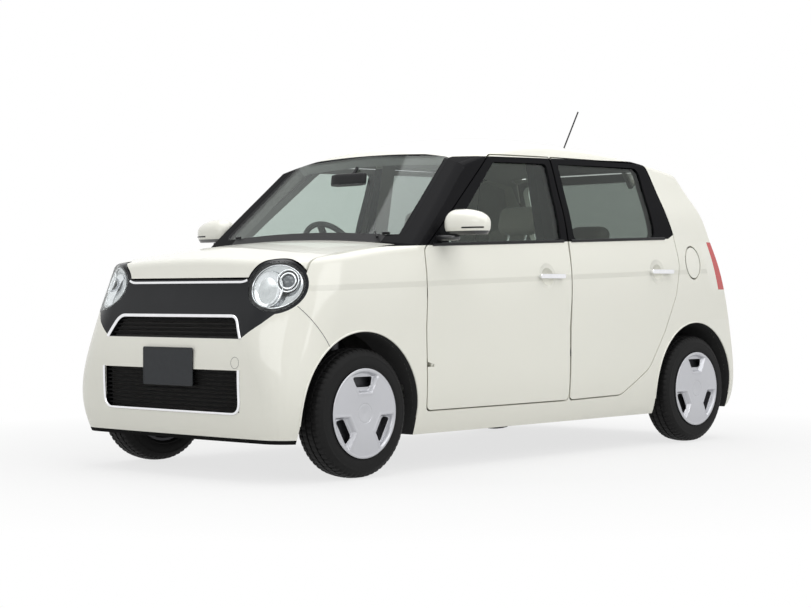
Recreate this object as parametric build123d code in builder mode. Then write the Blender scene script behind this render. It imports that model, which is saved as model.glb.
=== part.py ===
"""Small five-door city car with opening doors, lids, steering and turning wheels, in millimetres.

The car faces -Y, its left is +X and +Z is up, with the ground at zero.
Lengths along the car are given from the front axle and turned into Y by station().
"""

import os
from collections import namedtuple
from math import atan2, cos, radians, sin, tan

from build123d import *

os.makedirs("parts", exist_ok=True)

# Whole car
LENGTH = 3395.0
HALF_WIDTH = 736.4
ROOF_TOP = 1562.0
WHEELBASE = 2520.0
FRONT_OVERHANG = 465.0
TRACK = 1305.0
FRONT_AXLE = FRONT_OVERHANG - LENGTH / 2

# Walls and gaps
DOOR_WALL = 80.0
PILLAR_WALL = 42.0
LID_WALL = 24.0
GLASS = 5.0
SHUT_GAP = 7.0
PLUG_TAPER = 12.0
PLUG_END = 536.0
EDGE_ROUND = 40.0

# Floor and bulkheads
FLOOR_TOP = 330.0
FLOOR_UNDER = 240.0
CARGO_TOP = 520.0
CARGO_UNDER = 440.0
CARGO_START = 2060.0
FIREWALL_FRONT = 290.0
FIREWALL_REAR = 330.0
BELT = 1000.0
SIDE_SPLIT = 600.0
RAIL_SPLIT = 500.0

# Wheels and steering
TYRE_RADIUS = 278.5
TYRE_WIDTH = 155.0
RIM_RADIUS = 178.0
HUB_RADIUS = 22.0
COVER_RADIUS = 192.0
RUNNING_GAP = 0.3
ARCH_RADIUS = 347.0
WELL_INNER_FRONT = 405.0
WELL_INNER_REAR = 535.0
KINGPIN = 545.0
KINGPIN_RADIUS = 18.0

# Hinges
HINGE_PIN = 4.0
HINGE_KNUCKLE = 7.0
PIN_DEPTH = 14.0
PIN_SETBACK = 40.0

Section = namedtuple("Section", "height tilt half_width nose tail nose_radius tail_radius")
SECTIONS = [
    Section(165.0, 0.0, HALF_WIDTH - 44.0, -430.0, 2893.0, 135.0, 150.0),
    Section(330.0, 0.0, HALF_WIDTH - 10.0, -460.0, 2928.0, 145.0, 165.0),
    Section(470.0, 0.2, HALF_WIDTH - 3.0, -464.0, 2905.0, 195.0, 190.0),
    Section(620.0, 0.5, HALF_WIDTH, -448.0, 2868.0, 262.0, 240.0),
    Section(860.0, 1.7, HALF_WIDTH - 4.0, -370.0, 2785.0, 265.0, 290.0),
    Section(1024.0, 1.9, HALF_WIDTH - 33.0, -330.0, 2726.0, 280.0, 295.0),
    Section(1250.0, 1.0, HALF_WIDTH - 91.0, -260.0, 2636.0, 300.0, 265.0),
    Section(1450.0, 0.0, HALF_WIDTH - 157.0, -200.0, 2520.0, 290.0, 180.0),
    Section(1520.0, 0.0, HALF_WIDTH - 207.0, -170.0, 2450.0, 260.0, 130.0),
    Section(1562.0, 0.0, HALF_WIDTH - 287.0, -140.0, 2350.0, 240.0, 120.0),
    Section(1585.0, 0.0, HALF_WIDTH - 367.0, -120.0, 2250.0, 200.0, 110.0),
]
SIDE_BOW = 10.0
NOSE_BOW = 14.0
TAIL_BOW = 26.0

# Middle line of the hood, the windscreen and the roof, as distance behind the front axle and height
HOOD_FRONT = (-420.0, 921.0)
HOOD_MID = (-60.0, 993.0)
HOOD_REAR = (330.0, 1036.0)
SCREEN_TOP = (815.0, 1470.0)
ROOF_PEAK = 1550.0
FRONT_SWEEP = 5200.0
ROOF_SWEEP = 2500.0


def station(y):
    return FRONT_AXLE + y


def block(x0, x1, y0, y1, z0, z1):
    """A box between two corners, with lengths from the front axle."""
    with BuildPart() as box:
        with Locations(((x0 + x1) / 2, station((y0 + y1) / 2), (z0 + z1) / 2)):
            Box(x1 - x0, y1 - y0, z1 - z0)
    return box.part


def prism(plane, outline, reach):
    """A straight block over a closed outline."""
    with BuildPart() as shape:
        with BuildSketch(plane):
            with BuildLine():
                Polyline(*outline, close=True)
            make_face()
        extrude(amount=reach)
    return shape.part


def less(base, *tools):
    """What is left of a piece after cuts. Loose remains stay apart, where a builder would fuse them again."""
    return base - list(tools)


def both(base, tool):
    """What two pieces share, with loose remains kept apart in the same way."""
    return base & tool


def joined(*pieces):
    with BuildPart() as result:
        for piece in pieces:
            add(piece)
    return result.part


def flipped(piece):
    return mirror(piece, about=Plane.YZ)


def pair(piece):
    return joined(piece, flipped(piece))


def loose(*pieces):
    """Solids that don't touch, kept apart in one piece."""
    return Compound([solid for piece in pieces for solid in piece.solids()])


def export(piece, name):
    piece.label = name
    export_step(piece, f"parts/{name}.step")


def rod(start, end, radius):
    """A round bar between two points, with lengths from the front axle."""
    a = Vector(start[0], station(start[1]), start[2])
    b = Vector(end[0], station(end[1]), end[2])
    with BuildPart() as bar:
        with BuildSketch(Plane(a, z_dir=b - a)):
            Circle(radius)
        extrude(amount=(b - a).length)
    return bar.part


def plan_body(inset):
    """The body walls, lofted through level outlines that are drawn in by the inset."""
    with BuildPart() as body:
        for s in SECTIONS:
            tilt = radians(s.tilt)
            level = Plane((0, 0, s.height), x_dir=(1, 0, 0), z_dir=(0, -sin(tilt), cos(tilt)))
            half = s.half_width - inset
            nose = station(s.nose) + inset
            tail = station(s.tail) - inset
            corner = half - SIDE_BOW
            with BuildSketch(level):
                with BuildLine():
                    ThreePointArc((-corner, nose + NOSE_BOW), (0, nose), (corner, nose + NOSE_BOW))
                    ThreePointArc((corner, nose + NOSE_BOW), (half, 0), (corner, tail - TAIL_BOW))
                    ThreePointArc((corner, tail - TAIL_BOW), (0, tail), (-corner, tail - TAIL_BOW))
                    ThreePointArc((-corner, tail - TAIL_BOW), (-half, 0), (-corner, nose + NOSE_BOW))
                outline = make_face()
                fillet(outline.vertices().sort_by(Axis.Y)[:2], s.nose_radius)
                tail_end = sorted(outline.vertices(), key=lambda v: -v.Y)[:2]
                fillet(tail_end, s.tail_radius)
        loft()
    return body.part


def above_front(inset):
    """All that lies above the hood and ahead of the windscreen."""
    slope = atan2(SCREEN_TOP[1] - HOOD_REAR[1], SCREEN_TOP[0] - HOOD_REAR[0])
    reach = 900.0
    a = (station(HOOD_FRONT[0]), HOOD_FRONT[1] - inset)
    b = (station(HOOD_MID[0]), HOOD_MID[1] - inset)
    c = (station(HOOD_REAR[0]) + 1.2 * inset, HOOD_REAR[1] - inset)
    d = (c[0] + reach * cos(slope), c[1] + reach * sin(slope))
    with BuildPart() as cutter:
        with BuildSketch(Plane.YZ):
            with BuildLine():
                ThreePointArc(a, b, c)
                Polyline(c, d, (d[0] - 300, d[1] + 400), (a[0] - 200, d[1] + 400), (a[0] - 200, a[1] - 30), a)
            make_face()
        pivot = (0, station(HOOD_REAR[0]) + FRONT_SWEEP * sin(radians(45)),
                 HOOD_REAR[1] - FRONT_SWEEP * cos(radians(45)))
        revolve(axis=Axis(pivot, (0, 1, 1)), revolution_arc=10)
        mirror(about=Plane.YZ)
    return cutter.part


def above_roof(inset):
    """All that lies above the roof."""
    top = ROOF_TOP - inset
    front = (station(ROOF_PEAK - 1000), top - 168)
    peak = (station(ROOF_PEAK), top)
    rear = (station(ROOF_PEAK + 1300), top - 145)
    with BuildPart() as cutter:
        with BuildSketch(Plane.YZ):
            with BuildLine():
                TangentArc(peak, front, tangent=(-1, 0))
                TangentArc(peak, rear, tangent=(1, 0))
                Polyline(rear, (rear[0], top + 300), (front[0], top + 300), front)
            make_face()
        revolve(axis=Axis((0, 0, ROOF_TOP - ROOF_SWEEP), (0, 1, 0)), revolution_arc=25)
        mirror(about=Plane.YZ)
    return cutter.part


def body_shape(inset, top_inset=None):
    top = inset if top_inset is None else top_inset
    return less(plan_body(inset), above_front(top), above_roof(top))


def rounded_body():
    """The outside of the body with the hood, pillar and roof edges rounded."""
    with BuildPart() as shape:
        add(body_shape(0.0))
        soft = []
        for edge in shape.edges():
            middle = edge.center()
            y = middle.Y - FRONT_AXLE
            hood_edge = -400 < y < 260 and middle.Z > 900 and edge.geom_type == GeomType.BSPLINE
            pillar_edge = 400 < y < 700 and abs(middle.X) > 600 and 1100 < middle.Z < 1300
            roof_edge = y > 900 and 1440 < middle.Z < 1500 and edge.geom_type == GeomType.BSPLINE
            if hood_edge or pillar_edge or roof_edge:
                soft.append(edge)
        fillet(soft, EDGE_ROUND)
    return shape.part


outer = rounded_body()
glass_out = body_shape(8.0)
glass_in = body_shape(8.0 + GLASS)
under_lid = body_shape(LID_WALL)
under_skin = body_shape(LID_WALL + SHUT_GAP)
under_screen = body_shape(GLASS)
upper_inner = body_shape(PILLAR_WALL)
lower_inner = body_shape(DOOR_WALL, PILLAR_WALL)


def cabin_space(upper, lower, grow):
    """The room inside the cabin, drawn in from the walls."""
    front = FIREWALL_REAR + grow
    low = both(lower, block(-700, 700, front, CARGO_START - grow, FLOOR_TOP + grow, BELT + 2))
    cargo = both(lower, block(-700, 700, CARGO_START - grow, 2900, CARGO_TOP + grow, BELT + 2))
    high = both(upper, block(-700, 700, front, 2900, BELT, ROOF_TOP))
    return joined(low, cargo, high)


cabin = cabin_space(upper_inner, lower_inner, 0.0)
bay_top = both(under_skin, block(-560, 560, -330, FIREWALL_FRONT, 400, 1100))
bay_low = block(-440, 440, -330, FIREWALL_FRONT, 100, 400)


def well(y, inner, radius):
    """The space round one wheel on the left."""
    with BuildPart() as space:
        with BuildSketch(Plane.YZ.offset(inner)):
            with Locations((station(y), TYRE_RADIUS)):
                Circle(radius)
            with Locations((station(y), TYRE_RADIUS / 2 - 40)):
                Rectangle(2 * radius, TYRE_RADIUS + 80)
        extrude(amount=900 - inner)
    return space.part


front_well = well(0, WELL_INNER_FRONT, ARCH_RADIUS)
rear_well = well(WHEELBASE, WELL_INNER_REAR, ARCH_RADIUS)
under_front = block(-590, 590, 400, CARGO_START - 60, 100, FLOOR_UNDER)
under_rear = block(-500, 500, CARGO_START - 60, 2840, 100, CARGO_UNDER)
wall = less(outer, cabin)
skin = less(outer, under_skin)
glazing = less(outer, under_screen)


def outset(points, distances):
    """Corners of a closed outline moved outward, each by its own distance from both its sides."""
    moved = []
    for i, here in enumerate(points):
        before = Vector(*points[i - 1])
        after = Vector(*points[(i + 1) % len(points)])
        here = Vector(*here)
        first = (here - before).normalized()
        second = (after - here).normalized()
        reach = Vector(first.Y + second.Y, -first.X - second.X) / (1 + first.dot(second))
        moved.append(here + reach * distances[i])
    return moved


def at_height(height, column):
    """A column of the section table at a height between its rows."""
    for low, high in zip(SECTIONS, SECTIONS[1:]):
        if low.height <= height <= high.height:
            share = (height - low.height) / (high.height - low.height)
            return getattr(low, column) * (1 - share) + getattr(high, column) * share
    return getattr(SECTIONS[0], column)


Corner = namedtuple("Corner", "along height radius")


def plug(corners, plane, near, far, skin, grow=0.0, taper=0.0):
    """An opening that runs from near to far along the plane's normal and narrows on its way in.

    The corners are given where they meet the skin, and run counter-clockwise.
    """
    lean = tan(radians(taper))
    points = [(c.along, c.height) for c in corners]
    with BuildPart() as shape:
        for level in (near, far):
            outline = outset(points, [grow + lean * (level - x) for x in skin])
            with BuildSketch(plane.offset(level)) as face:
                with BuildLine():
                    Polyline(*outline, close=True)
                make_face()
                for corner, tip in zip(corners, outline):
                    nearest = min(face.vertices(), key=lambda v: (v.center() - tip).length)
                    fillet(nearest, corner.radius)
        loft(ruled=True)
    return shape.part


def side_plug(corners, grow=0.0, taper=0.0):
    moved = [Corner(station(c.along), c.height, c.radius) for c in corners]
    return plug(moved, Plane.YZ, 790, PLUG_END, [at_height(c.height, "half_width") for c in corners], grow, taper)


def tail_plug(corners, grow=0.0, taper=0.0):
    skin = [station(at_height(c.height, "tail")) for c in corners]
    rear = Plane((0, 0, 0), x_dir=(-1, 0, 0), z_dir=(0, 1, 0))
    return plug(corners, rear, station(3000), station(2380), skin, grow, taper)


def hinge_frame(point, along, outward):
    """Local plane of a hinge: z along the pin, x toward the skin, y into the panel."""
    return Plane(Vector(point[0], station(point[1]), point[2]), x_dir=outward, z_dir=along)


def hinge_pocket(frame, back=0.0):
    """Room in the panel for the fixed half; back is more room behind it, under the skin."""
    with BuildPart(frame) as pocket:
        with Locations((-36.5, -26, 0)):
            Box(91, 70, 34)
        if back:
            with Locations((-43, -56 - back / 2, 0)):
                Box(78, back, 34)
    return pocket.part


def hinge_pin(frame, size=1.0):
    with BuildPart(frame) as pin:
        Cylinder(HINGE_PIN * size, 40 * size)
    return pin.part


def hinge_arm(frame, reach, back, size=1.0):
    """The fixed half: an eye on the pin and a bent arm that runs inward and back to the pillar."""
    with BuildPart(frame) as arm:
        Cylinder(HINGE_KNUCKLE * size, 24 * size)
        with Locations((-reach / 2, 0, 0)):
            Box(reach, 10 * size, 24 * size)
        with Locations((-reach, -back / 2 + 5 * size, 0)):
            Box(12 * size, back, 24 * size)
        Cylinder(HINGE_PIN * size + 0.06, 60 * size, mode=Mode.SUBTRACT)
    return arm.part


# Doors of the left side, counter-clockwise seen from the left with the nose at the left
FRONT_DOOR = [
    Corner(410, 268, 25), Corner(1432, 268, 25), Corner(1427, 620, 200), Corner(1452, 1010, 300),
    Corner(1460, 1450, 15), Corner(1000, 1440, 60), Corner(412, 985, 40), Corner(392, 640, 200),
]
REAR_DOOR = [
    Corner(1440, 268, 25), Corner(1862, 274, 120), Corner(2100, 400, 200), Corner(2235, 585, 200),
    Corner(2335, 770, 150), Corner(2378, 930, 100), Corner(2366, 1072, 60), Corner(2272, 1458, 40),
    Corner(1467, 1450, 15), Corner(1459, 1010, 300), Corner(1434, 620, 200),
]
FRONT_PANE = [Corner(560, 1014, 12), Corner(1402, 1036, 25), Corner(1420, 1414, 20), Corner(1015, 1404, 60)]
REAR_PANE = [Corner(1505, 1044, 25), Corner(2198, 1070, 30), Corner(2198, 1430, 40), Corner(1512, 1418, 20)]
DoorRow = namedtuple("DoorRow", "name outline pane hinge_y hinge_heights arm_reach arm_back handle_y handle_z")
DOORS = [
    DoorRow("front", FRONT_DOOR, FRONT_PANE, 436.0, (480.0, 790.0), 100.0, 110.0, 1256.0, 866.0),
    DoorRow("rear", REAR_DOOR, REAR_PANE, 1478.0, (500.0, 800.0), 118.0, 40.0, 2170.0, 893.0),
]
HINGE_X = HALF_WIDTH - PIN_DEPTH
HANDLE_RECESS = 58.0

side_arms = []
door_gaps = []
door_pieces = {}
for row in DOORS:
    opening = side_plug(row.outline, SHUT_GAP / 2, PLUG_TAPER)
    door_gaps.append(opening)
    window = side_plug(row.pane)
    door = less(both(wall, side_plug(row.outline, -SHUT_GAP / 2, PLUG_TAPER)), window)
    pane = both(less(glass_out, glass_in), window)
    with BuildPart() as recess:
        with Locations((HALF_WIDTH + 32, station(row.handle_y), row.handle_z)):
            Sphere(HANDLE_RECESS)
    door = less(door, recess.part)
    frames = [hinge_frame((HINGE_X, row.hinge_y, z), (0, 0, 1), (1, 0, 0)) for z in row.hinge_heights]
    door = less(door, *[hinge_pocket(frame) for frame in frames])
    door = joined(door, *[hinge_pin(frame) for frame in frames])
    side_arms += [hinge_arm(frame, row.arm_reach, row.arm_back) for frame in frames]
    with BuildPart() as handle:
        with Locations((HALF_WIDTH + 14, station(row.handle_y + 20), row.handle_z)):
            Box(12, 190, 22)
        fillet(handle.edges().filter_by(Axis.X), 9)
        fillet(handle.edges().group_by(Axis.X)[-1], 4)
        for y in (-80, 80):
            with Locations((HALF_WIDTH - 6, station(row.handle_y + 20 + y), row.handle_z)):
                Box(30, 16, 14)
    grip = less(handle.part, door)
    door_pieces[row.name] = door
    for side, turn in (("left", joined), ("right", flipped)):
        export(turn(door), f"{row.name}_door_{side}")
        export(turn(pane), f"{row.name}_door_glass_{side}")
        export(turn(grip), f"{row.name}_door_handle_{side}")

# Lids: hood, tailgate and fuel lid
HOOD_HALF = 640.0
HOOD_BACK = 286.0
HOOD_LIP = 858.0
hood_zone = block(-HOOD_HALF, HOOD_HALF, -700, HOOD_BACK, HOOD_LIP, 1300)
hood_gap = block(-HOOD_HALF - SHUT_GAP, HOOD_HALF + SHUT_GAP, -700, HOOD_BACK + 3 * SHUT_GAP, HOOD_LIP - SHUT_GAP, 1300)
hood = both(less(outer, under_lid), hood_zone)
HOOD_PIN = (500.0, 232.0, 966.0)
HOOD_SWING = 88.0
hood_trough = rod((-HOOD_HALF - SHUT_GAP, *HOOD_PIN[1:]), (HOOD_HALF + SHUT_GAP, *HOOD_PIN[1:]), HOOD_SWING)
straps = []
for side in (-1, 1):
    lug = both(block(side * HOOD_PIN[0] - 32, side * HOOD_PIN[0] + 32, 200, 262, 950, 1100), under_lid)
    frame = hinge_frame((side * HOOD_PIN[0], HOOD_PIN[1], HOOD_PIN[2]), (1, 0, 0), (0, 0, 1))
    hood = joined(hood, lug)
    with BuildPart(frame) as slot:
        with Locations((-20, 0, 0)):
            Box(60, 90, 34)
    hood = joined(less(hood, both(slot.part, under_lid)), hinge_pin(frame))
    with BuildPart(frame) as strap:
        Cylinder(HINGE_KNUCKLE, 24)
        with Locations((-32, 0, 0)):
            Box(64, 10, 24)
        with Locations((-58, -36, 0)):
            Box(12, 84, 24)
        Cylinder(HINGE_PIN + 0.06, 60, mode=Mode.SUBTRACT)
    straps.append(strap.part)

# Tailgate, seen from behind with the car's left at the left
GATE = [
    Corner(-608, 575, 60), Corner(608, 575, 60), Corner(594, 900, 200), Corner(556, 1080, 200),
    Corner(452, 1436, 50), Corner(-452, 1436, 50), Corner(-556, 1080, 200), Corner(-594, 900, 200),
]
GATE_PANE = [Corner(-515, 1060, 60), Corner(515, 1060, 60), Corner(430, 1385, 60), Corner(-430, 1385, 60)]
GATE_TAPER = 6.0
gate_gap = tail_plug(GATE, SHUT_GAP / 2, GATE_TAPER)
gate_window = tail_plug(GATE_PANE)
gate = less(both(wall, tail_plug(GATE, -SHUT_GAP / 2, GATE_TAPER)), gate_window)
gate_glass = both(glazing, gate_window)
GATE_PIN = (330.0, 2544.0, 1392.0)
gate_arms = []
for side in (-1, 1):
    frame = hinge_frame((side * GATE_PIN[0], GATE_PIN[1], GATE_PIN[2]), (-1, 0, 0), (0, 0.79, 0.61))
    gate = joined(less(gate, hinge_pocket(frame, 50)), hinge_pin(frame))
    gate_arms.append(hinge_arm(frame, 62, 140))
export(gate, "tailgate")
export(gate_glass, "tailgate_glass")

# Windscreen
screen_slope = atan2(SCREEN_TOP[1] - HOOD_REAR[1], SCREEN_TOP[0] - HOOD_REAR[0])
screen_plane = Plane((0, station((HOOD_REAR[0] + SCREEN_TOP[0]) / 2), (HOOD_REAR[1] + SCREEN_TOP[1]) / 2),
                     x_dir=(1, 0, 0), z_dir=(0, -sin(screen_slope), cos(screen_slope)))
with BuildPart() as screen_plug:
    with BuildSketch(screen_plane):
        with BuildLine():
            Polyline((-598, -275), (598, -275), (508, 298), (-508, 298), close=True)
        make_face()
        fillet(vertices(), 45)
    extrude(amount=160, both=True)
export(both(glazing, screen_plug.part), "windscreen")

# Headlamps: a clear lens in the skin over a bowl
LAMP = Vector(536.0, station(-327.0), 817.0)
LAMP_RING = 12.0
lamp_plane = Plane(LAMP, x_dir=(0.86, 0.5, 0.12), z_dir=(0.5, -0.86, 0.1))
with BuildPart() as lamp_plug:
    with BuildSketch(lamp_plane.offset(-110)):
        Ellipse(132, 108)
    extrude(amount=320)
with BuildPart() as bowl_room:
    with BuildSketch(lamp_plane.offset(-95)):
        Ellipse(120, 96)
    extrude(amount=320)
with BuildPart() as lamp_ring:
    with BuildSketch(lamp_plane.offset(-110)):
        Ellipse(132 + LAMP_RING, 108 + LAMP_RING)
    extrude(amount=320)
with BuildPart() as lamp_gap:
    with BuildSketch(lamp_plane.offset(-110)):
        Ellipse(132 + LAMP_RING + SHUT_GAP, 108 + LAMP_RING + SHUT_GAP)
    extrude(amount=320)
export(less(hood, lamp_gap.part, flipped(lamp_gap.part)), "hood")
lamp = lamp_plug.part
lens = both(glazing, lamp)
bowl = less(both(under_screen, lamp), bowl_room.part)
export(pair(lens), "headlamp_lenses")
export(pair(bowl), "headlamp_bowls")

# Fuel lid on the left rear quarter. Its pin lies in the sheet near the front edge and leans with the body side
LID_CENTRE = (2508.0, 941.0)
LID_PIN = (714.0, 2452.0, 941.0)
LID_LEAN = radians(8.2)
LID_PIN_RADIUS = 2.5
LID_KNUCKLE = 4.4


def lid_plug(width, height, depth):
    with BuildPart() as shape:
        with BuildSketch(Plane.YZ.offset(HALF_WIDTH + 60)):
            with Locations((station(LID_CENTRE[0]), LID_CENTRE[1])):
                Ellipse(width, height)
        extrude(amount=-60 - depth)
    return shape.part


fuel_pocket = lid_plug(71, 89, 80)
lid_frame = hinge_frame(LID_PIN, (-sin(LID_LEAN), 0, cos(LID_LEAN)), (cos(LID_LEAN), 0, sin(LID_LEAN)))
with BuildPart(lid_frame) as lid_recess:
    with Locations((LID_KNUCKLE + 0.4 - 20, -4, 0)):
        Box(40, 22, 62)
with BuildPart(lid_frame) as lid_lug:
    Cylinder(LID_KNUCKLE, 12)
    with Locations((0, 5, 0)):
        Box(7, 10, 12)
    Cylinder(LID_PIN_RADIUS, 48)
lid_sheet = less(both(less(outer, glass_out), lid_plug(62, 80, 80)), lid_recess.part)
fuel_lid = joined(lid_sheet, lid_lug.part)
export(fuel_lid, "fuel_lid")
with BuildPart(lid_frame) as lid_arm:
    for z in (-18, 18):
        with Locations((0, 0, z)):
            Cylinder(LID_KNUCKLE, 8)
        with Locations((-35, 0, z)):
            Box(70, 6, 8)
    Cylinder(LID_PIN_RADIUS + 0.06, 80, mode=Mode.SUBTRACT)

# Outer panels cut from the skin
hood_room = both(skin, hood_gap)
BUMPER_TOP = 600.0
MASK = [
    (-640, 900), (-640, 790), (-583, 706), (-536, 665), (-438, BUMPER_TOP),
    (438, BUMPER_TOP), (536, 665), (583, 706), (640, 790), (640, 900),
]
BUMPER_SIDE = [(-700, 100), (-190, 100), (-190, 545), (-318, 738), (-700, 738)]
mask_front = less(prism(Plane.XZ.offset(-station(-190)), MASK, 510), hood_gap)
mask_zone = joined(mask_front, lamp_ring.part, flipped(lamp_ring.part))
bumper_side = prism(Plane.YZ.offset(-800), [(station(y), z) for y, z in BUMPER_SIDE], 1600)
bumper_zone = less(bumper_side, mask_zone)
fender_zone = less(block(SIDE_SPLIT, 800, -700, 420, 100, 1300), bumper_side, mask_zone)
rear_zone = block(-800, 800, 2640, 3100, 100, 640)
wells = pair(joined(front_well, rear_well))
lamps = pair(lamp)
Grille = namedtuple("Grille", "foot top wide narrow")
GRILLES = [Grille(604, 688, 430.0, 382.0), Grille(292, 468, 440.0, 440.0)]
BAR = 7.0
BAR_PITCH = 18


def grille_opening(row):
    outline = [(-row.wide, row.foot), (row.wide, row.foot), (row.narrow, row.top), (-row.narrow, row.top)]
    return prism(Plane.XZ.offset(-station(-300)), outline, 400)


upper_grille, lower_grille = [grille_opening(row) for row in GRILLES]
front_bumper = less(both(skin, bumper_zone), wells, lamps, lower_grille)
face = less(both(skin, mask_zone), lamps, upper_grille)
fender = less(both(skin, fender_zone), front_well, lamp, hood_room, door_gaps[0], screen_plug.part)
rear_bumper = less(both(skin, rear_zone), wells, gate_gap)
TAIL_LAMP = [(2592, 1052), (2662, 800), (2900, 800), (2900, 1052)]
tail_zone = prism(Plane.YZ.offset(560), [(station(y), z) for y, z in TAIL_LAMP], 240)
tail_lamp = less(both(skin, tail_zone), gate_gap)
bars = []
bar_layer = less(glass_out, under_lid)
for row in GRILLES:
    for z in range(row.foot + 12, row.top - 12, BAR_PITCH):
        half = row.wide - (z + BAR - row.foot) * (row.wide - row.narrow) / (row.top - row.foot)
        bars.append(both(bar_layer, block(-half, half, -700, -300, z, z + BAR)))
export(loose(*bars), "grilles")
export(front_bumper, "front_bumper")
export(face, "face_panel")
export(fender, "fender_left")
export(flipped(fender), "fender_right")
export(rear_bumper, "rear_bumper")
export(pair(tail_lamp), "tail_lamps")

roof = less(both(wall, block(-RAIL_SPLIT, RAIL_SPLIT, 700, 2700, 1300, 1700)), gate_gap, screen_plug.part)
export(roof, "roof")

# Left half of the body shell, and from it the side frame and the floor
half_shell = both(wall, block(0, 800, -700, 3200, 0, 1800))
# The post between the doors stands back from the swing of the rear door's front edge
POST_FACE = 704.0
post_front = block(POST_FACE, 800, 1415, 1475, 300, BELT)
cuts = [bay_top, bay_low, hood_trough, post_front, front_well, rear_well, under_front, under_rear, *door_gaps,
        gate_gap, screen_plug.part, hood_room, lamp, fuel_pocket, both(skin, bumper_zone), both(skin, mask_zone),
        both(skin, fender_zone), both(skin, rear_zone), tail_lamp,
        block(-RAIL_SPLIT, RAIL_SPLIT, 700, 2700, 1300, 1700)]
half_shell = less(half_shell, *cuts)
side_zone = joined(block(SIDE_SPLIT, 800, -700, 3000, 0, BELT), block(RAIL_SPLIT, 800, 200, 3000, BELT, 1700))
side_frame = both(half_shell, side_zone)
half_floor = Part(less(half_shell, side_zone).solids().sort_by(SortBy.VOLUME)[-1].wrapped)
with BuildPart() as post:
    for z, inner, rim in ((FLOOR_TOP, 575, 628), (BELT, 558, 610), (1480, 474, 522)):
        with BuildSketch(Plane.XY.offset(z)):
            with Locations(((inner + rim) / 2, station(1448))):
                Rectangle(rim - inner, 100)
    loft(ruled=True)
side_frame = joined(side_frame, less(post.part, wall))
floor = pair(half_floor)
export(side_frame, "side_frame_left")
export(flipped(side_frame), "side_frame_right")
export(floor, "floor")
side_hinges = [less(arm, side_frame) for arm in side_arms]
export(loose(*side_hinges, *[flipped(arm) for arm in side_hinges], less(lid_arm.part, side_frame),
             *[less(strap, floor) for strap in straps], *[less(arm, roof) for arm in gate_arms]), "hinges")

# Wheels: tyre, wheel and cover turn together on a hub; the row gives the wheel's place and side
WheelRow = namedtuple("WheelRow", "name along side")
WHEELS = [
    WheelRow("front_left", 0.0, 1),
    WheelRow("front_right", 0.0, -1),
    WheelRow("rear_left", WHEELBASE, 1),
    WheelRow("rear_right", WHEELBASE, -1),
]
HALF_TYRE = TYRE_WIDTH / 2
HALF_RIM = 62.0
HUB_FACE = 40.0
axle = Plane((0, 0, 0), x_dir=(0, 0, 1), z_dir=(1, 0, 0))
spin = Axis((0, 0, 0), (1, 0, 0))
# Profiles are drawn with width along X and radius along Z; the outside of the car is +X
with BuildPart() as tyre:
    with BuildSketch(Plane.XZ):
        with BuildLine():
            bead = RIM_RADIUS + 6
            Polyline((-HALF_RIM - 4, bead), (HALF_RIM + 4, bead))
            ThreePointArc((HALF_RIM + 4, bead), (HALF_TYRE, 222), (HALF_TYRE - 12, 262))
            ThreePointArc((HALF_TYRE - 12, 262), (HALF_TYRE - 19, 271), (HALF_TYRE - 30, 274))
            ThreePointArc((HALF_TYRE - 30, 274), (0, TYRE_RADIUS), (30 - HALF_TYRE, 274))
            ThreePointArc((30 - HALF_TYRE, 274), (19 - HALF_TYRE, 271), (12 - HALF_TYRE, 262))
            ThreePointArc((12 - HALF_TYRE, 262), (-HALF_TYRE, 222), (-HALF_RIM - 4, bead))
        make_face()
    revolve(axis=spin)
with BuildPart() as wheel:
    with BuildSketch(Plane.XZ):
        with BuildLine():
            Polyline((-HALF_RIM - 4, RIM_RADIUS + 6), (-HALF_RIM - 4, RIM_RADIUS - 6), (20, RIM_RADIUS - 18),
                     (20, 60), (HUB_FACE - 40, 60), (HUB_FACE - 40, HUB_RADIUS + RUNNING_GAP),
                     (HUB_FACE, HUB_RADIUS + RUNNING_GAP), (HUB_FACE, 66), (30, 70), (30, RIM_RADIUS - 18),
                     (HALF_RIM + 4, RIM_RADIUS - 6), (HALF_RIM + 4, RIM_RADIUS + 6), close=True)
        make_face()
    revolve(axis=spin)
with BuildPart() as cover:
    with BuildSketch(Plane.XZ):
        with BuildLine():
            lip = HALF_RIM + 4
            Polyline((lip + 11, COVER_RADIUS), (lip + 6, COVER_RADIUS), (lip + 6, RIM_RADIUS + 6), (lip, RIM_RADIUS),
                     (lip, 100), (58, 60), (58, 0), (74, 0))
            ThreePointArc((74, 0), (81, 120), (lip + 11, COVER_RADIUS))
        make_face()
    revolve(axis=spin)
    with BuildSketch(axle.offset(40)):
        with PolarLocations(0, 3):
            Polygon((110, -46), (110, 46), (150, 60), (158, 0), (150, -60), align=(Align.NONE, Align.NONE))
        fillet(vertices(), 9)
    extrude(amount=60, mode=Mode.SUBTRACT)
for row in WHEELS:
    place = Location((row.side * TRACK / 2, station(row.along), TYRE_RADIUS))
    for piece, kind in ((tyre.part, "tyre"), (wheel.part, "wheel"), (cover.part, "cover")):
        turned = piece if row.side > 0 else flipped(piece)
        export(place * turned, f"{kind}_{row.name}")

# Knuckles: an upright on the kingpin line with the stub that the front wheel turns on
STUB_END = TRACK / 2 + HUB_FACE - 4
KNUCKLE_LOW = 196.0
KNUCKLE_HIGH = 500.0
EYE_GAP = 0.06
knuckle = joined(rod((KINGPIN, 0, KNUCKLE_LOW), (KINGPIN, 0, KNUCKLE_HIGH), KINGPIN_RADIUS),
                 rod((KINGPIN, 0, TYRE_RADIUS), (STUB_END, 0, TYRE_RADIUS), HUB_RADIUS))
export(knuckle, "knuckle_left")
export(flipped(knuckle), "knuckle_right")

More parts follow.
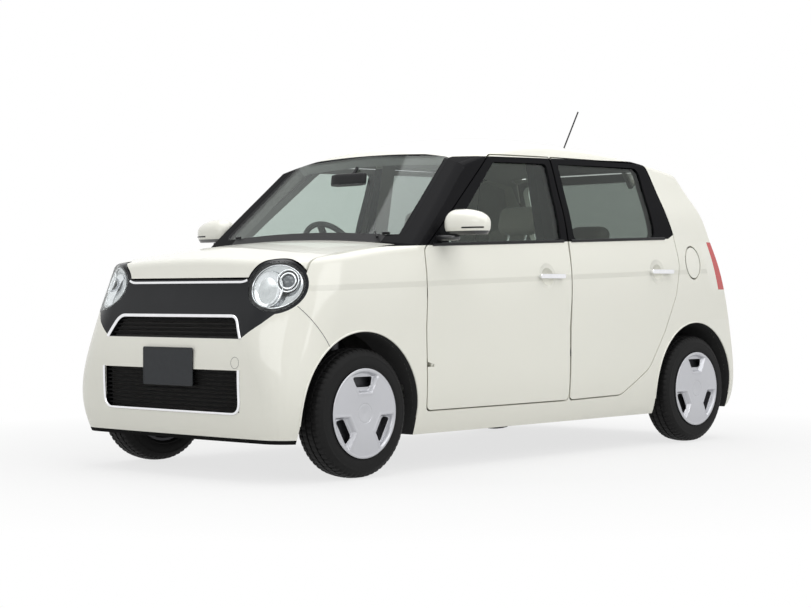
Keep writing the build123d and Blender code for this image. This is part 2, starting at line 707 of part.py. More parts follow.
# Front suspension: rails, crossmember, lower arms and strut tubes, fixed at ride height
RAIL_LOW = 230.0
MEMBER_TOP = 300.0
arm_eye = rod((KINGPIN, 0, 200), (KINGPIN, 0, 226), KINGPIN_RADIUS + 14)
strut = joined(rod((KINGPIN, 0, 400), (KINGPIN, 0, 700), KINGPIN_RADIUS + 4), block(515, 560, -60, 60, 650, 720))
half_frame = joined(block(330, 390, -330, FIREWALL_FRONT, RAIL_LOW, 320), block(0, 390, -70, 70, RAIL_LOW, MEMBER_TOP),
                    block(330, KINGPIN, -40, 40, 204, 240), arm_eye)
frame_side = less(joined(half_frame, strut), rod((KINGPIN, 0, 150), (KINGPIN, 0, 540), KINGPIN_RADIUS + EYE_GAP))
export(less(pair(frame_side), floor), "front_suspension")

engine = block(-320, 320, -210, 230, MEMBER_TOP, 720)
with BuildPart() as engine_block:
    add(engine)
    fillet(engine_block.edges().filter_by(Axis.Z), 30)
    fillet(engine_block.edges().group_by(Axis.Z)[-1], 20)
export(less(engine_block.part, pair(frame_side)), "engine")

# Rear axle: beam with stubs, trailing arms and springs up to the floor
half_axle = joined(rod((0, WHEELBASE, TYRE_RADIUS), (500, WHEELBASE, TYRE_RADIUS), 34),
                   rod((480, WHEELBASE, TYRE_RADIUS), (STUB_END, WHEELBASE, TYRE_RADIUS), HUB_RADIUS),
                   block(380, 440, CARGO_START - 120, WHEELBASE, TYRE_RADIUS - 38, TYRE_RADIUS),
                   rod((410, WHEELBASE - 40, TYRE_RADIUS), (410, WHEELBASE - 40, CARGO_UNDER), 46))
export(less(pair(half_axle), floor), "rear_axle")

# Exhaust: pipe, silencer and two hangers up to the floor
exhaust = joined(rod((-150, 200, 205), (-150, 2700, 205), 22), rod((-420, 2740, 300), (120, 2740, 300), 78),
                 block(-170, -130, 2640, 2700, 190, 300), block(-165, -135, 900, 930, 205, FLOOR_UNDER),
                 block(-165, -135, 2725, 2755, 300, CARGO_UNDER), rod((-360, 2740, 280), (-360, 2880, 250), 20))
export(less(exhaust, floor, rear_bumper), "exhaust")

# Dashboard with the column shroud, and the steering wheel on its shaft
WHEEL_CENTRE = (-340.0, 880.0, 975.0)
COLUMN_TILT = 28.0
SHAFT_RADIUS = 12.0
column = Plane(Vector(WHEEL_CENTRE[0], station(WHEEL_CENTRE[1]), WHEEL_CENTRE[2]), x_dir=(1, 0, 0),
               z_dir=(0, cos(radians(COLUMN_TILT)), sin(radians(COLUMN_TILT))))
with BuildPart() as dash:
    with BuildSketch(Plane.YZ):
        with BuildLine():
            Polyline(*[(station(y), z) for y, z in ((330, 600), (560, 600), (690, 760), (715, 900), (640, 985),
                                                    (420, 998), (330, 940))], close=True)
        make_face()
        fillet(vertices().sort_by(Axis.X)[-4:], 35)
    extrude(amount=585, both=True)
    with BuildSketch(column.offset(-60)):
        Circle(42)
    extrude(amount=-200)
    with BuildSketch(column.offset(-30)):
        Circle(SHAFT_RADIUS + RUNNING_GAP)
    extrude(amount=-190, mode=Mode.SUBTRACT)
export(both(dash.part, cabin), "dashboard")
with BuildPart(column) as steering_wheel:
    Torus(178, 14)
    Cylinder(55, 40)
    with PolarLocations(0, 3, start_angle=-90):
        with Locations((110, 0, 0)):
            Box(140, 36, 14)
    with Locations((0, 0, -115)):
        Cylinder(SHAFT_RADIUS, 190)
export(steering_wheel.part, "steering_wheel")

# Seats
SeatRow = namedtuple("SeatRow", "middle half front back low cushion top lean")


def seat(row, head_middles):
    """A cushion, a leaning backrest and headrests on two posts each."""
    with BuildPart() as chair:
        with Locations((row.middle, station((row.front + row.back) / 2), (row.low + row.cushion) / 2)):
            Box(2 * row.half, row.back - row.front, row.cushion - row.low)
        fillet(chair.edges().group_by(Axis.Z)[-1], 40)
        tilt = Location((row.middle, station(row.back - 20), row.cushion - 60), (-row.lean, 0, 0))
        with BuildSketch(Plane(tilt)):
            RectangleRounded(2 * row.half - 16, 112, 45)
        extrude(amount=row.top - row.cushion)
        for middle in head_middles:
            head = Location((row.middle + middle, station(row.back - 20), row.cushion - 60), (-row.lean, 0, 0))
            with BuildSketch(Plane(head).offset(row.top - row.cushion + 30)):
                RectangleRounded(250, 100, 45)
            extrude(amount=150)
            with BuildSketch(Plane(head).offset(row.top - row.cushion - 20)):
                with GridLocations(110, 0, 2, 1):
                    Circle(7)
            extrude(amount=80)
    return chair.part


front_seat = seat(SeatRow(325.0, 215.0, 960.0, 1420.0, FLOOR_TOP, 610.0, 1120.0, 14.0), (0.0,))
export(pair(front_seat), "front_seats")
rear_seat = seat(SeatRow(0.0, 525.0, 1690.0, CARGO_START, FLOOR_TOP, 620.0, 1040.0, 16.0), (-280.0, 280.0))
export(rear_seat, "rear_seat")

# Antenna and mirrors
antenna = joined(rod((0, 2290, 1500), (0, 2465, 1782), 4), rod((0, 2290, 1490), (0, 2300, 1540), 16))
export(less(antenna, outer), "antenna")
with BuildPart() as mirror_shell:
    with Locations((822, station(548), 1088)):
        Box(190, 110, 140)
    fillet(mirror_shell.edges(), 45)
    with Locations((735, station(520), 1028)):
        Box(110, 50, 26)
mirror_left = less(mirror_shell.part, door_pieces["front"])
export(mirror_left, "mirror_left")
export(flipped(mirror_left), "mirror_right")
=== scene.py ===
# %% [markdown]
# # A small five-door city car
# The solid model of the car comes in as a fixed frame. This lesson gives each panel its finish and adds
# what a solid model leaves out: trim, tyre tread, lamps, padding and glass. Blender works in metres; sizes
# of pieces are written in millimetres and turned into metres where a point is made.

# %% Load the frame
from math import atan2, cos, exp, hypot, pi, radians, sin

import bmesh
import bpy
from mathutils import Matrix, Vector


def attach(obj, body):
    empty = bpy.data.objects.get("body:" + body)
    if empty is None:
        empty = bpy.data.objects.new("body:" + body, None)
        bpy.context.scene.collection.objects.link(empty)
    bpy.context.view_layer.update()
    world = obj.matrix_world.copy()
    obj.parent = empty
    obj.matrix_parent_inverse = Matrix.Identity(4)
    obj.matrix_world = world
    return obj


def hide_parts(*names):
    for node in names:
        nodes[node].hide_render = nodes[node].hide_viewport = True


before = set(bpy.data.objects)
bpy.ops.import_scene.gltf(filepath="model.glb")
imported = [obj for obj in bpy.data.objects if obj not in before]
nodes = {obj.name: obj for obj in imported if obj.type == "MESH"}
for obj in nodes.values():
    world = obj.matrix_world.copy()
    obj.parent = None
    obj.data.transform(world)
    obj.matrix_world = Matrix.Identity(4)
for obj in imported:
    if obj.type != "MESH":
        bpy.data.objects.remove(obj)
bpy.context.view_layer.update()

HANDS = {"left": 1, "right": -1}
FRONT_AXLE_Y = -1232.5
WHEEL_X, WHEEL_HEIGHT = 652.5, 278.5
WHEEL_PLACES = {"front": 0.0, "rear": 2520.0}


def at(x, along, height):
    """A point given in millimetres: from the middle, behind the front axle, above the ground."""
    return Vector((x, FRONT_AXLE_Y + along, height)) / 1000


# %% [markdown]
# ## Camera
# The camera stands where the photograph was taken from. Its place and turn come from a fit of the wheels,
# lamps and grille corners, so the render can be laid over the picture feature by feature.

# %% Camera
EYE = Vector((6.046, -6.7535, 0.795))
YAW, PITCH, ROLL = 0.74357, 0.006846, -0.003723
SENSOR, FOCAL_LENGTH, FAR_CLIP = 36, 80.16, 200
forward = Vector((-sin(YAW) * cos(PITCH), cos(YAW) * cos(PITCH), -sin(PITCH)))
level = Vector((cos(YAW), sin(YAW), 0))
upward = level.cross(forward)
right = level * cos(ROLL) + upward * sin(ROLL)
top = upward * cos(ROLL) - level * sin(ROLL)
lens_data = bpy.data.cameras.new("camera")
lens_data.sensor_width = SENSOR
lens_data.lens = FOCAL_LENGTH
lens_data.clip_end = FAR_CLIP
camera = bpy.data.objects.new("camera", lens_data)
camera.matrix_world = Matrix.Translation(EYE) @ Matrix((right, top, -forward)).transposed().to_4x4()
bpy.context.scene.collection.objects.link(camera)
bpy.context.scene.camera = camera
bpy.context.scene.view_settings.view_transform = "Standard"
print("camera at", tuple(EYE))

# %% [markdown]
# ## Shader sums
# A finish is a small graph of nodes. Writing it as sums is easier to read than wiring, so one class wraps
# a socket: adding or comparing two of them makes the Math node that does it.


# %% Wire class
class Wire:
    """One value in a finish. Sums make Math nodes, and node() makes any other."""

    def __init__(self, tree, socket=None):
        self.tree, self.socket = tree, socket

    def node(self, kind, settings=None, sockets=None, out=0):
        made = self.tree.nodes.new(kind)
        for key, value in (settings or {}).items():
            if key == "stops":
                ramp = made.color_ramp.elements
                while len(ramp) < len(value):
                    ramp.new(0.5)
                for stop, (place, shade) in zip(ramp, value):
                    stop.position, stop.color = place, shade
            else:
                setattr(made, key, value)
        for key, value in (sockets or {}).items():
            if isinstance(value, Wire):
                self.tree.links.new(value.socket, made.inputs[key])
            else:
                made.inputs[key].default_value = value
        return Wire(self.tree, made.outputs[out])

    def math(self, operation, first, second=0.0):
        return self.node("ShaderNodeMath", {"operation": operation}, {0: first, 1: second})

    def mix(self, share, first, second):
        """From the first colour to the second."""
        settings = {"data_type": "RGBA"}
        return self.node("ShaderNodeMix", settings, {0: share, 6: first, 7: second}, out=2)

    def clear(self):
        return self.node("ShaderNodeClamp", None, {0: self})

    def __add__(self, other):
        return self.math("ADD", self, other)

    __radd__ = __add__

    def __sub__(self, other):
        return self.math("SUBTRACT", self, other)

    def __rsub__(self, other):
        return self.math("SUBTRACT", other, self)

    def __mul__(self, other):
        return self.math("MULTIPLY", self, other)

    __rmul__ = __mul__

    def __truediv__(self, other):
        return self.math("DIVIDE", self, other)

    def __gt__(self, other):
        return self.math("GREATER_THAN", self, other)

    def __lt__(self, other):
        return self.math("LESS_THAN", self, other)

    def __abs__(self):
        return self.math("ABSOLUTE", self)


def finish(name, **fixed):
    """A new material, its wires and its shader, with the values that are the same all over."""
    material = bpy.data.materials.new(name)
    material.use_nodes = True
    shader = material.node_tree.nodes["Principled BSDF"]
    for key, value in fixed.items():
        shader.inputs[key.replace("_", " ")].default_value = value
    return material, Wire(material.node_tree), shader


def feed(wire, shader, **varied):
    """Links what changes over the surface to the shader."""
    for key, value in varied.items():
        wire.tree.links.new(value.socket, shader.inputs[key.replace("_", " ")])


def place(wire):
    """The three coordinates of a point of the piece, in metres of the car at rest."""
    spot = wire.node("ShaderNodeTexCoord", out=3)
    split = wire.node("ShaderNodeSeparateXYZ", None, {0: spot})
    parts = split.socket.node.outputs
    return spot, [Wire(wire.tree, parts[i]) for i in range(3)]


def grain(wire, spot, scale, detail=2.0):
    return wire.node("ShaderNodeTexNoise", None, {"Vector": spot, "Scale": scale, "Detail": detail})


def bump(wire, height, strength, distance):
    return wire.node("ShaderNodeBump", None, {"Height": height, "Strength": strength, "Distance": distance})


def rgb(red, green, blue):
    return (red, green, blue, 1.0)


print("shader sums ready")

# %% [markdown]
# ## Studio
# A pale floor carries the car's shadow and fades to white, and large soft lamps give the paint long, calm
# reflections. White backgrounds come from what the camera, mirrors and glass see, not from more light.


# %% Floor, world and lamps
def plain_rays(wire):
    """One for rays from the camera, from mirrors and through glass."""
    light_path = wire.node("ShaderNodeLightPath").socket.node.outputs
    kinds = ("Is Camera Ray", "Is Glossy Ray", "Is Transmission Ray")
    camera_ray, glossy, through = (Wire(wire.tree, light_path[kind]) for kind in kinds)
    return (camera_ray + glossy + through).clear()


world = bpy.data.worlds.new("studio")
bpy.context.scene.world = world
world.use_nodes = True
sky = Wire(world.node_tree)
seen = plain_rays(sky)
background = world.node_tree.nodes["Background"]
shade = sky.mix(seen, rgb(0.50, 0.505, 0.52), rgb(1.0, 1.0, 1.0))
world.node_tree.links.new(shade.socket, background.inputs["Color"])

FLOOR_REACH, FLOOR_CORNERS, FLOOR_DROP = 45.0, 64, 0.0004
FADE_START, FADE_WIDTH = 1.6, 1.8
WHITE_NEAR = 0.74
floor_mesh = bpy.data.meshes.new("studio_floor")
turns = [2 * pi * i / FLOOR_CORNERS for i in range(FLOOR_CORNERS)]
ring = [(FLOOR_REACH * cos(turn), FLOOR_REACH * sin(turn), -FLOOR_DROP) for turn in turns]
floor_mesh.from_pydata(ring, [], [list(range(FLOOR_CORNERS))])
studio_floor = bpy.data.objects.new("studio_floor", floor_mesh)
bpy.context.scene.collection.objects.link(studio_floor)
pale, wire, shader = finish("pale_floor", Roughness=0.7, Specular_IOR_Level=0.1)
shader.inputs["Base Color"].default_value = rgb(0.62, 0.62, 0.61)
_, (across, along_y, _) = place(wire)
reach = wire.math("SQRT", across * across + along_y * along_y)
fade = ((reach - FADE_START) / FADE_WIDTH).clear()
white = wire.node("ShaderNodeEmission", None, {"Color": rgb(1, 1, 1), "Strength": 1.0})
seen = plain_rays(wire)
surface = wire.node("ShaderNodeMixShader", None, {
    0: seen * (WHITE_NEAR + (1 - WHITE_NEAR) * fade), 1: Wire(wire.tree, shader.outputs[0]), 2: white})
wire.tree.links.new(surface.socket, wire.tree.nodes["Material Output"].inputs["Surface"])
floor_mesh.materials.append(pale)


def lamp(name, stand, aim, size, watts):
    """A soft rectangular lamp that looks from where it stands at a point."""
    data = bpy.data.lights.new(name, "AREA")
    data.shape = "RECTANGLE"
    data.size, data.size_y = size
    data.energy = watts
    lamp_object = bpy.data.objects.new(name, data)
    lamp_object.location = stand
    lamp_object.rotation_euler = (Vector(aim) - Vector(stand)).to_track_quat("-Z", "Y").to_euler()
    bpy.context.scene.collection.objects.link(lamp_object)


lamp("overhead", (0.5, 0.0, 5.0), (0, 0, 0.6), (6.0, 7.0), 215)
lamp("side", (6.5, -0.5, 3.6), (0, 0.2, 0.9), (5.0, 2.2), 95)
lamp("front", (1.2, -7.0, 3.2), (0, -1.0, 0.9), (5.0, 2.0), 85)
print("studio ready")

# %% [markdown]
# ## Paint, black gloss and chrome
# The body is a pearl cream under clear lacquer. Around the windows the same pressed panels are gloss
# black, which on the real car is a film laid to a line, so here a mask cut by that line picks the colour.

# %% Body finishes
CREAM = rgb(0.81, 0.805, 0.725)
CREAM_WARM = rgb(0.785, 0.775, 0.69)
GLOSS_BLACK = rgb(0.010, 0.010, 0.011)
# Lines of the side, in metres: a height over the front axle and its rise per metre behind it
BELT = (0.9855, 0.0338)
ROOF_RAIL = (1.400, 0.030)
FLANK_LEDGE = (0.806, 0.0306)
LEDGE_WIDTH, LEDGE_DEPTH = 0.024, 0.006
HANDLE_DISHES = ((1.256, 0.866), (2.170, 0.893))
DISH_RADIUS, DISH_DEPTH = 0.062, 0.012
LIP_TOP, MIRROR_FOOT_TOP = 0.182, 1.062


def cream_paint(wire, spot):
    """Pearl flakes and the slow drift of a sprayed coat."""
    flake = grain(wire, spot, 2400.0, 0.0)
    drift = grain(wire, spot, 1.6)
    return wire.mix(flake * 0.35 + drift * 0.4, CREAM, CREAM_WARM), 0.30 + 0.12 * flake


def cream_finish(name, **fixed):
    """A finish in body colour, still to be fed, and what a mask over it needs."""
    material, wire, shader = finish(name, **fixed)
    spot, (_, along_y, up) = place(wire)
    behind = along_y - FRONT_AXLE_Y / 1000
    return (material, wire, shader, behind, up, *cream_paint(wire, spot))


def line_height(along, start, slope):
    """The height of a sloping line at a distance behind the front axle."""
    return start + along * slope


pearl, wire, shader, _, _, colour, rough = cream_finish("pearl_paint", Coat_Weight=0.75, Coat_Roughness=0.035)
feed(wire, shader, Base_Color=colour, Roughness=rough)

# Side panels turn black between the belt line and the roof rail, as far back as the rear garnish
side_paint, wire, shader, behind, up, colour, rough = cream_finish(
    "side_paint", Coat_Roughness=0.035, Specular_IOR_Level=0.0)
belt, rail = line_height(behind, *BELT), line_height(behind, *ROOF_RAIL)
# The band's rear edge leans forward as it rises, and its lower rear corner is cut off
garnish = 2.368 - (up - 1.087) * 0.246
corner = 2.306 + (up - 1.061) * 2.38
window_band = (up > belt) * (up < rail) * (behind < garnish) * (behind < corner)
# A pressed ledge runs along the flank, and a round dish lies behind each handle
ledge = ((up - line_height(behind, *FLANK_LEDGE)) / LEDGE_WIDTH).clear()
pressing = ledge * LEDGE_DEPTH
for dish_along, dish_height in HANDLE_DISHES:
    off_along, off_height = (behind - dish_along) / DISH_RADIUS, (up - dish_height) / DISH_RADIUS
    inside = (1 - off_along * off_along - off_height * off_height).clear()
    pressing = pressing - DISH_DEPTH * inside
feed(wire, shader, Base_Color=wire.mix(window_band, colour, GLOSS_BLACK),
     Roughness=rough * (1 - 0.3 * window_band),
     Coat_Weight=0.75 - 0.66 * window_band, Normal=bump(wire, pressing, 1.0, 1.0))

# The front bumper ends in a black lip
bumper_paint, wire, shader, _, up, colour, rough = cream_finish(
    "bumper_paint", Coat_Roughness=0.04, Specular_IOR_Level=0.0)
lip = up < LIP_TOP
feed(wire, shader, Base_Color=wire.mix(lip, colour, rgb(0.010, 0.010, 0.010)),
     Roughness=rough + 0.25 * lip, Coat_Weight=0.7 - 0.66 * lip)

# Mirror shells are cream over a black foot
mirror_paint, wire, shader, _, up, colour, rough = cream_finish(
    "mirror_paint", Coat_Weight=0.7, Coat_Roughness=0.04)
foot = up < MIRROR_FOOT_TOP
feed(wire, shader, Base_Color=wire.mix(foot, colour, rgb(0.015, 0.015, 0.016)), Roughness=rough)


def grey(value, blue=0.0):
    """A grey, a little bluer where asked."""
    return rgb(value, value, value + blue)


def glossy(name, dark, light, scale, rough, **fixed):
    """A smooth finish whose colour and gloss drift a little."""
    material, wire, shader = finish(name, **fixed)
    spot, _ = place(wire)
    cloud = grain(wire, spot, scale, 3.0)
    least, most = rough
    feed(wire, shader, Base_Color=wire.mix(cloud, dark, light), Roughness=least + (most - least) * cloud)
    return material


def moulded(name, dark, light, scale, depth, rough, **fixed):
    """A grained moulding or cloth: fine noise in the colour and in a bump."""
    material, wire, shader = finish(name, **fixed)
    spot, _ = place(wire)
    fine = grain(wire, spot, scale, 2.0)
    broad = grain(wire, spot, 3.0, 2.0)
    feed(wire, shader, Base_Color=wire.mix(fine * 0.6 + broad * 0.4, dark, light),
         Roughness=rough - 0.1 + 0.2 * fine, Normal=bump(wire, fine, 0.6, depth))
    return material


black_gloss = glossy("black_gloss", GLOSS_BLACK, rgb(0.015, 0.015, 0.016), 5.0, (0.10, 0.2),
                     Specular_IOR_Level=0.18)
mask_grey = glossy("mask_grey", rgb(0.010, 0.011, 0.012), rgb(0.016, 0.017, 0.019), 6.0, (0.2, 0.3),
                   Specular_IOR_Level=0.16)
chrome = glossy("chrome", rgb(0.78, 0.79, 0.81), rgb(0.9, 0.9, 0.92), 30.0, (0.05, 0.12), Metallic=1.0)
wheel_silver = glossy("wheel_silver", rgb(0.50, 0.505, 0.53), rgb(0.58, 0.585, 0.61), 900.0, (0.26, 0.36),
                      Metallic=0.5, Specular_IOR_Level=0.4)
steel_dark = glossy("steel_dark", grey(0.05, 0.005), grey(0.10, 0.01), 60.0, (0.4, 0.6), Metallic=0.6)
cast_metal = moulded("cast_metal", grey(0.10, 0.005), grey(0.20, 0.01), 400.0, 0.0006, 0.55, Metallic=0.7)
black_plastic = moulded("black_plastic", grey(0.008, 0.001), grey(0.018, 0.001), 1400.0, 0.0004, 0.5,
                        Specular_IOR_Level=0.2)
underbody = moulded("underbody", grey(0.012), grey(0.03), 220.0, 0.001, 0.85)
carpet = moulded("carpet", rgb(0.05, 0.048, 0.045), rgb(0.11, 0.105, 0.10), 900.0, 0.002, 0.95)
cabin_trim = moulded("cabin_trim", rgb(0.30, 0.285, 0.255), rgb(0.38, 0.365, 0.33), 1100.0, 0.0005, 0.6)
dash_plastic = moulded("dash_plastic", rgb(0.05, 0.048, 0.046), rgb(0.09, 0.087, 0.083), 1200.0, 0.0005, 0.55)
headliner = moulded("headliner", rgb(0.50, 0.485, 0.45), rgb(0.60, 0.585, 0.55), 1500.0, 0.0004, 0.9)
leather = moulded("leather", grey(0.018), grey(0.04), 700.0, 0.0006, 0.5)
rubber = moulded("rubber", grey(0.006), grey(0.014), 500.0, 0.0005, 0.62, Specular_IOR_Level=0.15)
grille_black = glossy("grille_black", grey(0.003), grey(0.007), 60.0, (0.4, 0.5), Specular_IOR_Level=0.04)

# The tail lamp is red behind a front edge in body colour
LENS_START, LENS_HEIGHT, LENS_LEAN = 2.667, 1.052, 0.278
lamp_red, wire, shader, behind, up, colour, _ = cream_finish("lamp_red", Coat_Weight=1.0, Coat_Roughness=0.03)
ribs = grain(wire, place(wire)[0], 160.0, 3.0)
lens = behind > (LENS_START + (LENS_HEIGHT - up) * LENS_LEAN)
red = wire.mix(ribs, rgb(0.42, 0.006, 0.008), rgb(0.60, 0.015, 0.015))
feed(wire, shader, Base_Color=wire.mix(lens, colour, red), Roughness=0.1 + 0.2 * (1 - lens))
print("body finishes ready")

# %% [markdown]
# ## Glass
# A window lets most light straight through with a green tint and mirrors the rest, more at a shallow
# angle. A mix of a clear and a mirror shader does that without the dark cabin that bent rays would give.


# %% Glass finishes
def window_glass(name, tint, frit=None):
    """Tinted glass; frit says where it is printed black."""
    material, wire, shader = finish(name, Metallic=1.0, Roughness=0.02)
    spot, where = place(wire)
    smear = grain(wire, spot, 4.0, 3.0)
    feed(wire, shader, Base_Color=wire.mix(smear, rgb(0.9, 0.93, 0.91), rgb(0.95, 0.97, 0.96)))
    clear_part = wire.node("ShaderNodeBsdfTransparent", None, {"Color": tint})
    facing = wire.node("ShaderNodeLayerWeight", None, {"Blend": 0.5}, out=1)
    gloss = 0.03 + 0.65 * wire.math("POWER", facing, 5.0)
    mirror_part = Wire(wire.tree, shader.outputs[0])
    pane = wire.node("ShaderNodeMixShader", None, {0: gloss, 1: clear_part, 2: mirror_part})
    if frit:
        ink = wire.node("ShaderNodeBsdfPrincipled", None, {
            "Base Color": GLOSS_BLACK, "Roughness": 0.3, "Specular IOR Level": 0.02})
        pane = wire.node("ShaderNodeMixShader", None, {0: frit(where), 1: pane, 2: ink})
    wire.tree.links.new(pane.socket, wire.tree.nodes["Material Output"].inputs["Surface"])
    return material


def screen_border(where):
    """The printed border of the windscreen: its two sides, its top and its foot."""
    across, _, up = where
    glass_side = 0.607 - (up - 1.033) * 0.211
    border_side, border_top, border_foot = glass_side - 0.035, 1.448 - 0.04 * abs(across), 1.052
    return ((abs(across) > border_side) + (up > border_top) + (up < border_foot)).clear()


screen_glass = window_glass("screen_glass", rgb(0.78, 0.815, 0.805), screen_border)
front_glass = window_glass("front_glass", rgb(0.83, 0.87, 0.84))
rear_glass = window_glass("rear_glass", rgb(0.60, 0.63, 0.61))
lamp_glass = window_glass("lamp_glass", rgb(0.97, 0.98, 0.98))
print("glass finishes ready")

# %% [markdown]
# ## Dressing the panels
# Each CAD node keeps its shape. Its faces take an outside finish, or an inside one where they look into
# the cabin, which the direction of each face tells.


# %% Finishes on the CAD nodes
def dress(name, outside, *inside):
    """The finish of a node, and pairs of another finish and the faces that take it."""
    mesh = nodes[name].data
    mesh.materials.clear()
    for material in (outside, *(pair[0] for pair in inside)):
        mesh.materials.append(material)
    for face in mesh.polygons:
        takes = [i for i, pair in enumerate(inside) if pair[1](face.center, face.normal)]
        face.material_index = takes[-1] + 1 if takes else 0


def to_middle(centre, normal):
    """Faces inside the outer skin that look toward the middle of the car."""
    return normal.x * centre.x < -0.25 * abs(centre.x) and abs(centre.x) < 0.70


def downward(centre, normal):
    return normal.z < -0.25


def to_front(centre, normal):
    return normal.y < -0.3


def cowl(centre, normal):
    return centre.z > 0.93


ARCH_REACH = 0.42


def in_arch(centre, normal):
    """Faces that look at a wheel from round it."""
    inward = normal.x * centre.x < -0.3 * abs(centre.x)
    for along in WHEEL_PLACES.values():
        spoke = centre - at(centre.x * 1000, along, WHEEL_HEIGHT)
        if spoke.length < ARCH_REACH and (spoke.normalized().dot(normal) < -0.4 or inward):
            return True
    return False


def in_grille(centre, normal):
    """The walls of the lower air intake."""
    before_axle = FRONT_AXLE_Y / 1000 - centre.y
    inside = 0.285 < centre.z < 0.475 and abs(centre.x) < 0.455 and before_axle > 0.25
    return inside and normal.y > -0.6


PLAIN = {
    "fuel_lid": pearl, "face_panel": mask_grey, "grilles": grille_black, "windscreen": screen_glass,
    "headlamp_lenses": lamp_glass, "headlamp_bowls": black_gloss, "tail_lamps": lamp_red,
    "tailgate_glass": rear_glass, "hinges": pearl, "front_suspension": cast_metal, "rear_axle": steel_dark,
    "exhaust": cast_metal, "engine": cast_metal, "dashboard": dash_plastic, "steering_wheel": leather,
    "antenna": black_plastic, "front_seats": cabin_trim, "rear_seat": cabin_trim,
}
for name, material in PLAIN.items():
    dress(name, material)
for side in HANDS:
    dress(f"side_frame_{side}", side_paint, (cabin_trim, to_middle), (underbody, in_arch))
    dress(f"fender_{side}", side_paint, (underbody, in_arch))
    dress(f"front_door_glass_{side}", front_glass)
    dress(f"rear_door_glass_{side}", rear_glass)
    dress(f"mirror_{side}", mirror_paint)
    dress(f"knuckle_{side}", cast_metal)
    for end in WHEEL_PLACES:
        dress(f"{end}_door_{side}", side_paint, (cabin_trim, to_middle))
        dress(f"{end}_door_handle_{side}", chrome)
        dress(f"wheel_{end}_{side}", steel_dark)
        dress(f"tyre_{end}_{side}", rubber)
        dress(f"cover_{end}_{side}", wheel_silver)
dress("roof", pearl, (headliner, downward))
dress("hood", pearl, (underbody, downward))
dress("tailgate", pearl, (cabin_trim, to_front))
dress("floor", carpet, (black_plastic, cowl), (underbody, downward), (underbody, in_arch))
dress("front_bumper", bumper_paint, (underbody, in_arch), (grille_black, in_grille))
dress("rear_bumper", pearl, (underbody, in_arch))
print("dressed", len(nodes), "nodes")

# %% [markdown]
# ## Making and placing shapes
# New pieces are meshes whose points are already in the car's frame. To lie on a panel, a point is shot at
# the CAD node and takes the place and direction of the surface that it meets.


# %% Shape helpers
def add_piece(name, points, faces, material, body, crease=35):
    """A new piece that moves with a body, its edges sharp where faces meet at more than crease degrees."""
    mesh = bpy.data.meshes.new(name)
    mesh.from_pydata([tuple(point) for point in points], [], faces)
    mesh.update()
    mesh.shade_smooth()
    mesh.set_sharp_from_angle(angle=radians(crease))
    mesh.materials.append(material)
    piece = bpy.data.objects.new(name, mesh)
    bpy.context.scene.collection.objects.link(piece)
    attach(piece, body)
    return piece


def meet(names, start, direction):
    """The nearest point and surface direction where a ray meets one of these nodes."""
    best = None
    for name in names:
        found, point, normal, _ = nodes[name].ray_cast(start, direction)
        if found and (best is None or (point - start).length < (best[0] - start).length):
            best = (point, normal)
    return best


REARWARD, DOWN, INWARD = Vector((0, 1, 0)), Vector((0, 0, -1)), Vector((-1, 0, 0))
bpy.context.view_layer.update()


def mirrored(points):
    return [Vector((-point.x, point.y, point.z)) for point in points]


def band(low, high, size):
    """The faces between two rings of points, which start at these numbers."""
    return [(low + i, high + i, high + (i + 1) % size, low + (i + 1) % size) for i in range(size)]


def oval(middle, radii, steps):
    """Pairs of numbers round an oval."""
    turns = [2 * pi * i / steps for i in range(steps)]
    return [(middle[0] + radii[0] * cos(turn), middle[1] + radii[1] * sin(turn)) for turn in turns]


def turned(faces):
    """The same faces, looking the other way."""
    return [tuple(reversed(face)) for face in faces]


def on_nose(x, height):
    """The point of the car's front at a place across it and a height, in millimetres."""
    found = meet(("face_panel", "front_bumper"), at(x, -2000, height), REARWARD)
    return found[0] if found else None


def tube(name, points, radius, material, body, closed=False, squeeze=1.0):
    """A rod along the points that are there, flattened across by squeeze."""
    sides = 10
    points = [spot for spot in points if spot]
    ring, faces = [], []
    count = len(points)
    last = None
    for i, point in enumerate(points):
        ahead = points[(i + 1) % count] if closed else points[min(i + 1, count - 1)]
        back = points[i - 1] if closed else points[max(i - 1, 0)]
        along = (ahead - back).normalized()
        upright = -DOWN if abs(along.z) < 0.9 else REARWARD
        side = along.cross(last or upright).normalized()
        lift = side.cross(along).normalized()
        last = lift
        for k in range(sides):
            turn = 2 * pi * k / sides
            ring.append(point + side * radius * cos(turn) * squeeze + lift * radius * sin(turn))
    for i in range(count if closed else count - 1):
        j = (i + 1) % count
        for k in range(sides):
            m = (k + 1) % sides
            faces.append((i * sides + k, i * sides + m, j * sides + m, j * sides + k))
    if not closed:
        faces.append(tuple(reversed(range(sides))))
        faces.append(tuple(range((count - 1) * sides, count * sides)))
    add_piece(name, ring, faces, material, body, 60)


def side_rod(name, points, radius, material, carrier="body", squeeze=1.0):
    """A rod on the left side and its mirror image on the right, each on the body or on its own door."""
    points = [spot for spot in points if spot]
    for side, line in zip(HANDS, (points, mirrored(points))):
        body = carrier if carrier == "body" else f"{carrier}_{side}"
        tube(f"{name}_{side}", line, radius, material, body, squeeze=squeeze)


def rounded_path(corners, radius, steps=8):
    """A line through corners, each but the ends rounded, as pairs of numbers."""
    path = [Vector(corners[0])]
    for before, here, after in zip(corners, corners[1:], corners[2:]):
        before, here, after = Vector(before), Vector(here), Vector(after)
        start = here + (before - here).normalized() * min(radius, (before - here).length / 2)
        end = here + (after - here).normalized() * min(radius, (after - here).length / 2)
        for i in range(steps + 1):
            t = i / steps
            path.append(start * (1 - t) ** 2 + here * 2 * t * (1 - t) + end * t ** 2)
    path.append(Vector(corners[-1]))
    return path


